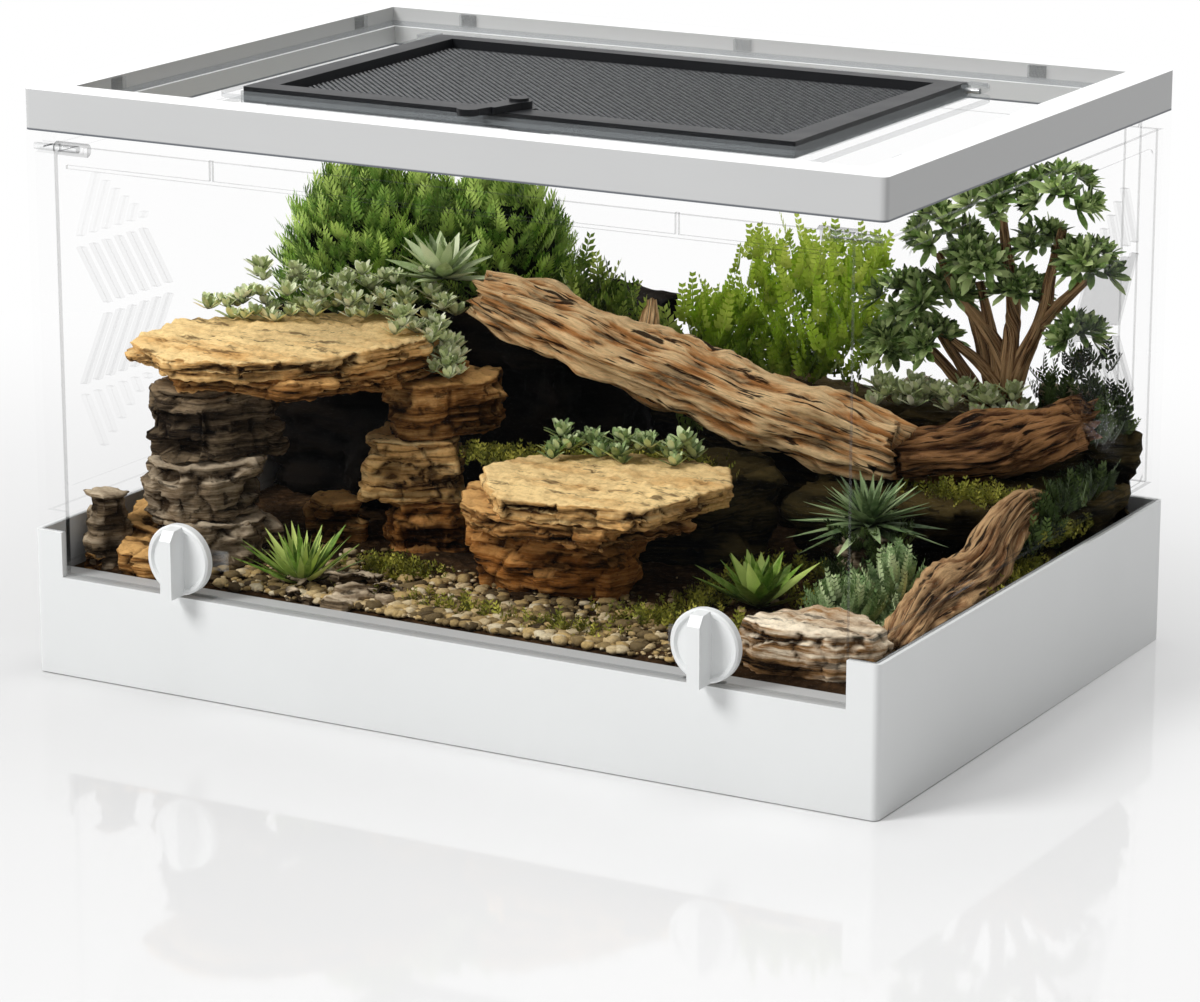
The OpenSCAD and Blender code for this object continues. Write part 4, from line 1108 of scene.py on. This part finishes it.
class TERRARIUM_OT_stones(bpy.types.Operator):
    """Carve the cave, the stepped slabs and the loose rocks."""

    bl_idname = "terrarium.stones"
    bl_label = "Stones"

    def execute(self, context):
        tan = sandstone("tan_sandstone", (252, 220, 158), (222, 174, 108), (66, 42, 20))
        brown = sandstone("brown_stone", (222, 176, 112), (146, 100, 52), (22, 13, 6))
        grey = sandstone("grey_stone", (206, 190, 164), (128, 110, 86), (26, 20, 14))
        pale = sandstone("pale_stone", (250, 236, 210), (156, 118, 76), (34, 23, 14))
        slate = sandstone("slate_stone", (150, 132, 106), (72, 60, 46), (14, 10, 7))
        umber = sandstone("umber_stone", (214, 158, 92), (156, 100, 46), (24, 13, 5))
        # The size of the faces, how far the layers step in and out, and their height, in metres
        for seed, (node, material, voxel, ledge, layer) in enumerate((
                ("cave_roof_upper", tan, 0.0011, 0.0045, 0.0032),
                ("cave_roof_lower", brown, 0.0012, 0.0055, 0.0034),
                ("centre_slab_upper", tan, 0.0011, 0.0045, 0.0032),
                ("centre_slab_lower", brown, 0.0012, 0.0055, 0.0034),
                ("centre_foot_stone", umber, 0.0016, 0.008, 0.0065),
                ("cave_pillar_left_lower", grey, 0.0016, 0.008, 0.0062),
                ("cave_pillar_left_middle", grey, 0.0016, 0.008, 0.0062),
                ("cave_pillar_left_upper", slate, 0.0016, 0.009, 0.0062),
                ("cave_pillar_right_lower", umber, 0.0016, 0.008, 0.0062),
                ("cave_pillar_right_middle", tan, 0.0016, 0.007, 0.0062),
                ("cave_pillar_right_upper", brown, 0.0016, 0.007, 0.0052),
                ("cave_inner_rock", brown, 0.0016, 0.006, 0.0062),
                ("side_rocks", grey, 0.0016, 0.005, 0.0062),
                ("front_boulder", pale, 0.0012, 0.0016, 0.03),
                ("grey_stones", grey, 0.0015, 0.004, 0.005))):
            piece = copy_of("rock_" + node, node)
            remesh(piece, voxel)
            relax(piece, 2)
            weather(piece, 2.7 * seed + 0.4, ledge, layer, block=min(0.0015, 0.4 * ledge))
            smooth(piece)
            dress(piece, material, [node])
        self.broken_rocks(grey, brown)
        return {"FINISHED"}

    def broken_rocks(self, grey, brown):
        """Angular pieces on the gravel and at the foot of the left wall."""
        chance = random.Random(17)
        for name, material, spots in (
                ("slate_chips", grey, (
                    (-75, -96, 10), (-60, -108, 9), (-90, -104, 8), (-52, -94, 8), (-66, -84, 8),
                    (-84, -116, 7), (-46, -106, 6), (-60, -120, 6), (-100, -92, 7), (-74, -121, 5))),
                ("corner_rocks", brown, (
                    (-174, -90, 22), (-160, -114, 14), (-147, -100, 14), (-176, -62, 24),
                    (-182, -122, 9)))):
            places = []
            for x, y, size in spots:
                flat = np.diag([1.0, chance.uniform(0.65, 0.9), chance.uniform(0.5, 0.7)])
                spin = turned(chance.uniform(0, 6.28), chance.uniform(-0.35, 0.35)) @ flat
                places.append((np.array([x, y, GROUND + size * 0.45]), spin, size, chance.random()))
            piece = spread(name, rounded_block(0.35), places)
            remesh(piece, 0.0011)
            weather(piece, 5.5, ledge=0.003, layer=0.004, rough=0.001, lump=0.002, block=0.0022)
            smooth(piece)
            dress(piece, material)


# Wood


class TERRARIUM_OT_wood(bpy.types.Operator):
    """Lay the driftwood, the lower log and the gnarled root, and raise the bonsai's stems."""

    bl_idname = "terrarium.wood"
    bl_label = "Wood"

    def execute(self, context):
        drift = bark("driftwood_bark", (252, 216, 162), (204, 142, 82), (30, 14, 6))
        dark = bark("dark_bark", (168, 122, 78), (70, 41, 22), (12, 6, 3))
        rooty = bark("root_bark", (206, 168, 122), (124, 86, 54), (22, 12, 6))
        self.driftwood(drift)
        self.lower_log(dark)
        self.root(rooty)
        self.stub(drift)
        self.bonsai(rooty)
        return {"FINISHED"}

    def driftwood(self, material):
        """The long limb that leans from the cave's roof down to the right."""
        top, heel = crown("driftwood_log") - 18, foot("driftwood_log") + 15
        path = [(-66, 8, top + 3), (-44, 13, top - 5), (-8, 24, top - 20),
                (36, 36, top - 35), (72, 46, heel + 14), (108, 54, heel + 1)]
        log = limb("driftwood", path, [9, 14, 15, 16, 15, 13], seed=4.2)
        dress(log, material, ["driftwood_log"])

    def lower_log(self, material):
        """The dark log that lies at the driftwood's lower end."""
        low, high = corners("right_log")
        path = [(low.x + 3, low.y + 12, low.z + 12), (132, 76, low.z + 14),
                (158, 84, low.z + 22), (high.x - 1, high.y - 24, high.z - 8)]
        log = limb("lower_log", path, [10, 14, 14, 11], seed=9.4)
        dress(log, material, ["right_log"])

    def root(self, material):
        """The gnarled root that climbs from the front boulder along the right wall."""
        low, high = corners("root_branch")
        path = [(high.x - 8, low.y - 4, low.z + 8), (high.x - 12, low.y + 24, low.z + 12),
                (high.x - 13, low.y + 60, low.z + 14), (high.x - 12, low.y + 92, low.z + 18),
                (high.x - 12, high.y - 20, high.z - 14), (high.x - 10, high.y - 2, high.z - 4),
                (high.x - 7, high.y + 12, high.z - 6)]
        log = limb("gnarled_root", path, [7, 11, 12, 11, 8, 8, 5], seed=15.8, ridge=0.3)
        dress(log, material, ["root_branch"])

    def stub(self, material):
        """A short broken branch on the driftwood's back."""
        top = crown("driftwood_log") - 18
        path = [(3, 26, top - 26), (0, 38, top - 10), (-4, 47, top)]
        piece = limb("driftwood_stub", path, [6, 4.5, 2.5], seed=6.1, ridge=0.24, sides=32, rings=50)
        dress(piece, material, ["driftwood_log"])

    def bonsai(self, material):
        """A stout stem that forks low down, with its heights above the bank."""
        base = foot("bonsai_trunk") - 3
        stems = (
            [(134, 111, 0), (136, 110, 20), (128, 108, 38), (112, 107, 55), (103, 108, 70)],
            [(135, 111, 0), (138, 109, 22), (140, 108, 50), (136, 107, 72), (134, 106, 90)],
            [(137, 110, 0), (142, 109, 24), (154, 108, 48), (156, 108, 66), (161, 108, 86)],
            [(152, 108, 44), (162, 107, 54), (174, 105, 66)],
            [(136, 110, 10), (126, 106, 24), (114, 101, 34)],
            [(130, 108, 0), (120, 106, 18), (104, 104, 40)],
            [(131, 110, 0), (124, 109, 30), (118, 107, 52)],
            [(128, 106, 0), (110, 104, 22), (92, 103, 36)],
            [(133, 109, 0), (129, 110, 34), (124, 106, 60)],
        )
        for index, stem in enumerate(stems):
            path = [(x, y, base + height) for x, y, height in stem]
            thick = [4.6, 3.9, 3.1, 2.4, 1.8][-len(path):]
            piece = limb(f"bonsai_stem_{index + 1}", path, thick, seed=20.0 + index, ridge=0.2,
                         sides=20, rings=40)
            dress(piece, material, ["bonsai_trunk"])


# Plants


class TERRARIUM_OT_bushes(bpy.types.Operator):
    """Grow the dark bushes, the bright shrub, and the sprigs behind the wood and along the wall."""

    bl_idname = "terrarium.bushes"
    bl_label = "Bushes"

    def execute(self, context):
        chance = random.Random(5)
        self.mounds(chance)
        self.behind_log(chance)
        self.right_edge(chance)
        self.shrub(chance)
        return {"FINISHED"}

    def mounds(self, chance):
        """Two dark mounds of sprigs, joined by a third, over a dark core that is painted shade."""
        green = leaf_green("bush_green", (22, 44, 10), (100, 148, 50), (204, 232, 120), base=0.08)
        sprig = sprig_shape(11, leaflets=5, leaf_length=7.4, leaf_width=2.2, angle=44)
        base = foot("bush_dark")
        left, right = BUSH_MIDDLES
        count = settings().bush_sprigs
        places = dome_places((*left, base), 35, 56, int(count * 0.55), 1.0, chance, low=-0.05)
        places += dome_places((*right, base), 33, 52, int(count * 0.35), 1.0, chance, low=-0.05)
        places += dome_places((-128, 62, base), 26, 54, int(count * 0.14), 1.0, chance, low=0.2)
        grow("bush_sprigs", sprig, places, green, ["bush_dark"])
        # A shrunken dark copy of the bush stands in for the shade inside it: painted shade.
        core = copy_of("bush_core", "bush_dark")
        self.shrink(core, 0.82)
        dress(core, moss("bush_shade", (6, 10, 3), (20, 32, 9)))

    def behind_log(self, chance):
        """Sprigs behind the driftwood, whose tops come down with it towards the right."""
        leafy = leaf_green("leafy_green", (44, 72, 14), (110, 146, 46), (186, 206, 100))
        left, right, top, slope, tall = -44, 18, 156, 0.62, 34
        places = []
        for _ in range(210):
            x = chance.uniform(left, right)
            height = top - (x - left) * slope
            spot = (x, chance.uniform(44, 62), chance.uniform(height - tall, height))
            aim = (chance.uniform(-0.7, 0.7), chance.uniform(-0.6, 0.3), 1.0)
            places.append(sprout(spot, aim, chance, 0.8, 1.4))
        sprig = sprig_shape(12, leaflets=5, leaf_length=5.5, leaf_width=2.6)
        grow("sprigs_behind_log", sprig, places, leafy)

    def right_edge(self, chance):
        """Dark sprigs beside the bonsai, along the right wall and round the agave's stone."""
        deep = leaf_green("edge_green", (14, 22, 9), (42, 58, 26), (92, 112, 58))
        bank, cradle = crown("rear_bank_right"), crown("log_cradle")
        places = []
        for x, y, z, wide, long, tall, count in (
                (166, 116, bank, 16, 8, 26, 110), (182, 108, bank - 6, 7, 18, 12, 90),
                (184, 74, cradle - 2, 6, 30, 5, 130), (176, 44, cradle - 16, 10, 16, 8, 70)):
            for _ in range(count):
                spot = (x + chance.uniform(-wide, wide), y + chance.uniform(-long, long),
                        z + tall * chance.random() ** 2)
                aim = (chance.uniform(-0.9, 0.9), chance.uniform(-0.9, 0.5), 1.0)
                places.append(sprout(spot, aim, chance, 0.7, 1.2))
        step = foot("agave_mid") - GROUND
        for _ in range(120):
            angle, height = chance.uniform(0, math.tau), chance.random()
            out = np.array([math.cos(angle), math.sin(angle), 0.0])
            spot = np.array([124, 2, GROUND + step * height]) + out * (14 - 3 * height)
            places.append(sprout(spot, out + (0, 0, 0.9), chance, 0.7, 1.1))
        sprig = sprig_shape(10, leaflets=5, leaf_length=5.0, leaf_width=2.2)
        grow("edge_sprigs", sprig, places, deep)

    def shrink(self, piece, share):
        """Draws the mounds in, so that the dark core, painted shade, stays behind the leaves."""
        low = foot("bush_dark") * MM
        places, _ = read_points(piece.data)
        for middle in BUSH_MIDDLES:
            centre = np.array(middle) * MM
            near = np.hypot(*(places[:, :2] - centre).T) < 0.0365
            places[near, :2] = centre + (places[near, :2] - centre) * share
        places[:, 2] = low + (places[:, 2] - low) * share
        write_points(piece.data, places)

    def shrub(self, chance):
        """Upright bright fronds that are lower on their left."""
        bright = leaf_green("shrub_green", (70, 104, 16), (170, 210, 48), (232, 248, 112), base=0.4)
        base = foot("yellow_shrub")
        places = []
        for _ in range(settings().shrub_fronds):
            x = chance.uniform(-12, 76)
            depth = chance.uniform(88, 122)
            tall = 66 if x > 10 else 40
            spot = np.array([x, depth, base + chance.uniform(2, tall - 6)])
            aim = np.array([chance.uniform(-0.8, 0.8), chance.uniform(-0.5, 0.4), 1.1])
            # Higher fronds get a lighter tint: painted light, varied at random.
            height = (spot[2] - base) / tall
            places.append((spot, towards(aim, chance.uniform(-1.4, 1.4)),
                           chance.uniform(0.8, 1.35), height * 0.75 + chance.uniform(0, 0.3)))
        frond = sprig_shape(14, leaflets=6, leaf_length=4.6, leaf_width=3.0, angle=58)
        grow("bright_shrub", frond, places, bright, ["yellow_shrub"])


class TERRARIUM_OT_bonsai(bpy.types.Operator):
    """Crown the bonsai with many small rosettes."""

    bl_idname = "terrarium.bonsai"
    bl_label = "Bonsai"

    def execute(self, context):
        chance = random.Random(8)
        green = leaf_green("bonsai_green", (34, 60, 18), (110, 146, 66), (210, 226, 158),
                           roughness=0.42, base=0.4)
        top = crown("bonsai_foliage")
        heads = (
            (160, 108, 11, 16), (131, 105, 16, 15), (106, 108, 32, 15), (176, 104, 38, 12),
            (88, 104, 63, 13), (124, 104, 42, 11), (108, 100, 58, 13), (140, 110, 56, 11),
            (84, 104, 82, 10), (104, 102, 80, 10), (170, 106, 70, 9), (150, 112, 34, 9),
        )
        places = []
        for x, y, drop, radius in heads:
            for _ in range(int(radius * 1.3)):
                way = dome_way(chance, -0.45) * (1, 1, 0.75)
                spot = np.array([x, y, top - drop]) + way * radius * 0.78
                lean = towards(way + (0, 0, 0.8), 0.0) @ turned(0, -math.pi / 2)
                places += rosette_leaves(spot, 19, -4, 80, chance.uniform(0.85, 1.25), chance, lean)
        leaf = leaf_shape(9.5, 3.3, rows=4, curl=0.3, fold=0.35, wide_at=0.62, tip=0.16)
        grow("bonsai_rosettes", leaf, places, green, ["bonsai_foliage"])
        return {"FINISHED"}


class TERRARIUM_OT_succulents(bpy.types.Operator):
    """Plant the rosettes, agaves, ferns and cushions of small succulents."""

    bl_idname = "terrarium.succulents"
    bl_label = "Succulents"

    def execute(self, context):
        chance = random.Random(21)
        self.agaves(chance)
        self.cushions(chance)
        self.ferns(chance)
        self.ground_tufts(chance)
        return {"FINISHED"}

    def agaves(self, chance):
        """The single rosettes: two agaves, one beside the cave and a pale one on its roof."""
        fresh = leaf_green("agave_green", (44, 76, 16), (112, 152, 50), (206, 222, 126), roughness=0.4)
        dusk = leaf_green("agave_dusk", (36, 56, 28), (96, 124, 76), (184, 202, 150), roughness=0.45)
        frost = leaf_green("rosette_frost", (88, 112, 60), (170, 192, 128), (238, 246, 206), roughness=0.45)
        leaf = leaf_shape(32, 8.6, rows=7, curl=0.2, fold=0.35, wide_at=0.38)
        places = rosette_leaves((94, -38, GROUND + 3), 34, low=12, high=78, size=1.0, chance=chance)
        grow("front_agave", leaf, places, fresh, ["agave_front"])
        leaf = leaf_shape(35, 5.0, rows=8, curl=-0.12, fold=0.4, wide_at=0.34)
        centre = (122, 6, foot("agave_mid") + 2)
        places = rosette_leaves(centre, 76, low=-6, high=84, size=1.0, chance=chance)
        grow("middle_agave", leaf, places, dusk, ["agave_mid"])
        leaf = leaf_shape(33, 4.8, rows=6, curl=0.2, fold=0.35, wide_at=0.3)
        low, high = corners("front_rosette")
        middle = (low + high) / 2
        centre = (middle.x, middle.y, GROUND + 2)
        places = rosette_leaves(centre, 56, low=10, high=80, size=1.0, chance=chance)
        grow("corner_rosette", leaf, places, fresh, ["front_rosette"])
        leaf = leaf_shape(30, 8.6, rows=6, curl=0.2, fold=0.35, wide_at=0.4)
        places = rosette_leaves((-94, 22, 151), 36, low=-8, high=76, size=1.0, chance=chance)
        grow("pale_rosette", leaf, places, frost, ["rosette_pale"])

    def cushions(self, chance):
        """Low cushions of small thick-leaved rosettes."""
        pale = leaf_green("cushion_pale", (130, 150, 88), (220, 232, 170), (252, 253, 228), base=0.35)
        grey = leaf_green("cushion_grey", (74, 100, 54), (156, 184, 116), (226, 238, 186), base=0.3)
        bed = foot("pale_succulents")
        small = leaf_shape(6.6, 3.2, rows=4, curl=0.3, fold=0.3, wide_at=0.6, tip=0.3)

        def bed_of(spots, radius, height, per_spot, size):
            """Places for the leaves of a row of cushions."""
            places = []
            for x, y, z in spots:
                for _ in range(per_spot):
                    turn, out = chance.uniform(0, math.tau), chance.random() ** 0.6
                    spot = (x + math.cos(turn) * out * radius, y + math.sin(turn) * out * radius,
                            z + height * (1 - out * out) * chance.uniform(0.6, 1.1))
                    places += rosette_leaves(spot, 12, 5, 82, size * chance.uniform(0.8, 1.3), chance)
            return places

        spots = [(-170 + 12 * i, -38 + 6 * i, bed) for i in range(8)]
        spots += [(-164 + 13 * i, -14 + 5 * i, bed + 7) for i in range(6)]
        grow("pale_cushions", small, bed_of(spots, 9, 11, 8, 1.0), pale, ["pale_succulents"])
        spots = [(-84, -28, bed), (-76, -18, bed - 4), (-72, -12, bed - 12), (-66, -22, bed - 18)]
        grow("trailing_cushions", small, bed_of(spots, 7, 8, 11, 1.1), pale, ["trailing_plant"])
        terrace = foot("centre_succulents")
        spots = [(-8 + 12 * i, -24 + 4 * i, terrace) for i in range(5)]
        grow("terrace_cushions", small, bed_of(spots, 8, 9, 9, 1.1), grey, ["centre_succulents"])
        ledge = foot("right_succulents")
        spots = [(86 + 11 * i, 92 + 2.5 * i, ledge) for i in range(6)]
        grow("right_cushions", small, bed_of(spots, 8, 11, 10, 1.15), pale, ["right_succulents"])

    def ferns(self, chance):
        """Dusty green ferns between the boulder and the root."""
        dusty = leaf_green("fern_dusty", (54, 80, 40), (128, 160, 100), (208, 224, 170), roughness=0.6)
        places = dome_places((142, -55, GROUND), 15, 20, 150, 0.85, chance)
        places += dome_places((150, -27, GROUND), 14, 26, 170, 0.85, chance)
        places += dome_places((166, -50, GROUND), 9, 12, 60, 0.7, chance)
        fern = sprig_shape(13, leaflets=6, leaf_length=4.6, leaf_width=2.4)
        grow("dusty_ferns", fern, places, dusty, ["fern_plants"])

    def ground_tufts(self, chance):
        """Small green and ochre tufts on the soil and between the stones."""
        ground, cradle = GROUND + 2, crown("log_cradle")
        green = leaf_green("tuft_green", (44, 50, 12), (112, 118, 36), (190, 184, 80), roughness=0.7)
        places = []
        for x, y, z, wide, deep, count in (
                (-66, -63, ground, 20, 12, 160), (63, -74, ground, 20, 10, 130),
                (40, -104, ground, 30, 8, 90), (-10, -100, ground, 40, 8, 90),
                (110, -75, ground, 16, 12, 90), (-14, -2, 82, 18, 10, 150),
                (20, 20, 82, 26, 14, 160), (-42, -18, 84, 18, 10, 260),
                (-36, -32, 62, 10, 10, 70),
                (178, 30, 52, 10, 24, 200), (150, 56, cradle, 30, 12, 240),
                (184, 62, 62, 6, 20, 160), (120, -16, ground, 26, 14, 220),
                (75, -4, ground, 14, 26, 260), (70, -40, ground, 10, 20, 180),
                (112, 18, ground, 30, 10, 160)):
            for _ in range(count):
                spot = (x + chance.gauss(0, wide * 0.5), y + chance.gauss(0, deep * 0.5),
                        z + chance.uniform(-1, 2))
                aim = (chance.uniform(-1, 1), chance.uniform(-1, 1), 1.0)
                places.append(sprout(spot, aim, chance, 0.6, 1.2))
        tuft = sprig_shape(6, leaflets=3, leaf_length=3.0, leaf_width=1.4)
        grow("ground_tufts", tuft, places, green)


class TERRARIUM_PT_panel(bpy.types.Panel):
    """Lists the steps that furnish the terrarium."""

    bl_label = "Terrarium"
    bl_idname = "TERRARIUM_PT_panel"
    bl_space_type = "VIEW_3D"
    bl_region_type = "UI"
    bl_category = "Terrarium"

    def draw(self, context):
        """Shows the values first and then the steps."""
        for name in TerrariumSettings.__annotations__:
            self.layout.prop(context.scene.terrarium, name)
        for step in STEPS:
            self.layout.operator(step.bl_idname)


STEPS = (TERRARIUM_OT_stage, TERRARIUM_OT_shell, TERRARIUM_OT_hatch, TERRARIUM_OT_ground,
         TERRARIUM_OT_stones, TERRARIUM_OT_wood, TERRARIUM_OT_bushes, TERRARIUM_OT_bonsai,
         TERRARIUM_OT_succulents)
CLASSES = (TerrariumSettings, *STEPS, TERRARIUM_PT_panel)


def register():
    """Adds the settings, the steps and the panel."""
    for kind in CLASSES:
        bpy.utils.register_class(kind)
    bpy.types.Scene.terrarium = PointerProperty(type=TerrariumSettings)


def unregister():
    """Takes them away again."""
    del bpy.types.Scene.terrarium
    for kind in reversed(CLASSES):
        bpy.utils.unregister_class(kind)


def main():
    """Furnishes the terrarium."""
    register()
    bpy.ops.terrarium.stage()
    bpy.ops.terrarium.shell()
    bpy.ops.terrarium.hatch()
    bpy.ops.terrarium.ground()
    bpy.ops.terrarium.stones()
    bpy.ops.terrarium.wood()
    bpy.ops.terrarium.bushes()
    bpy.ops.terrarium.bonsai()
    bpy.ops.terrarium.succulents()


if __name__ == "__main__":
    main()
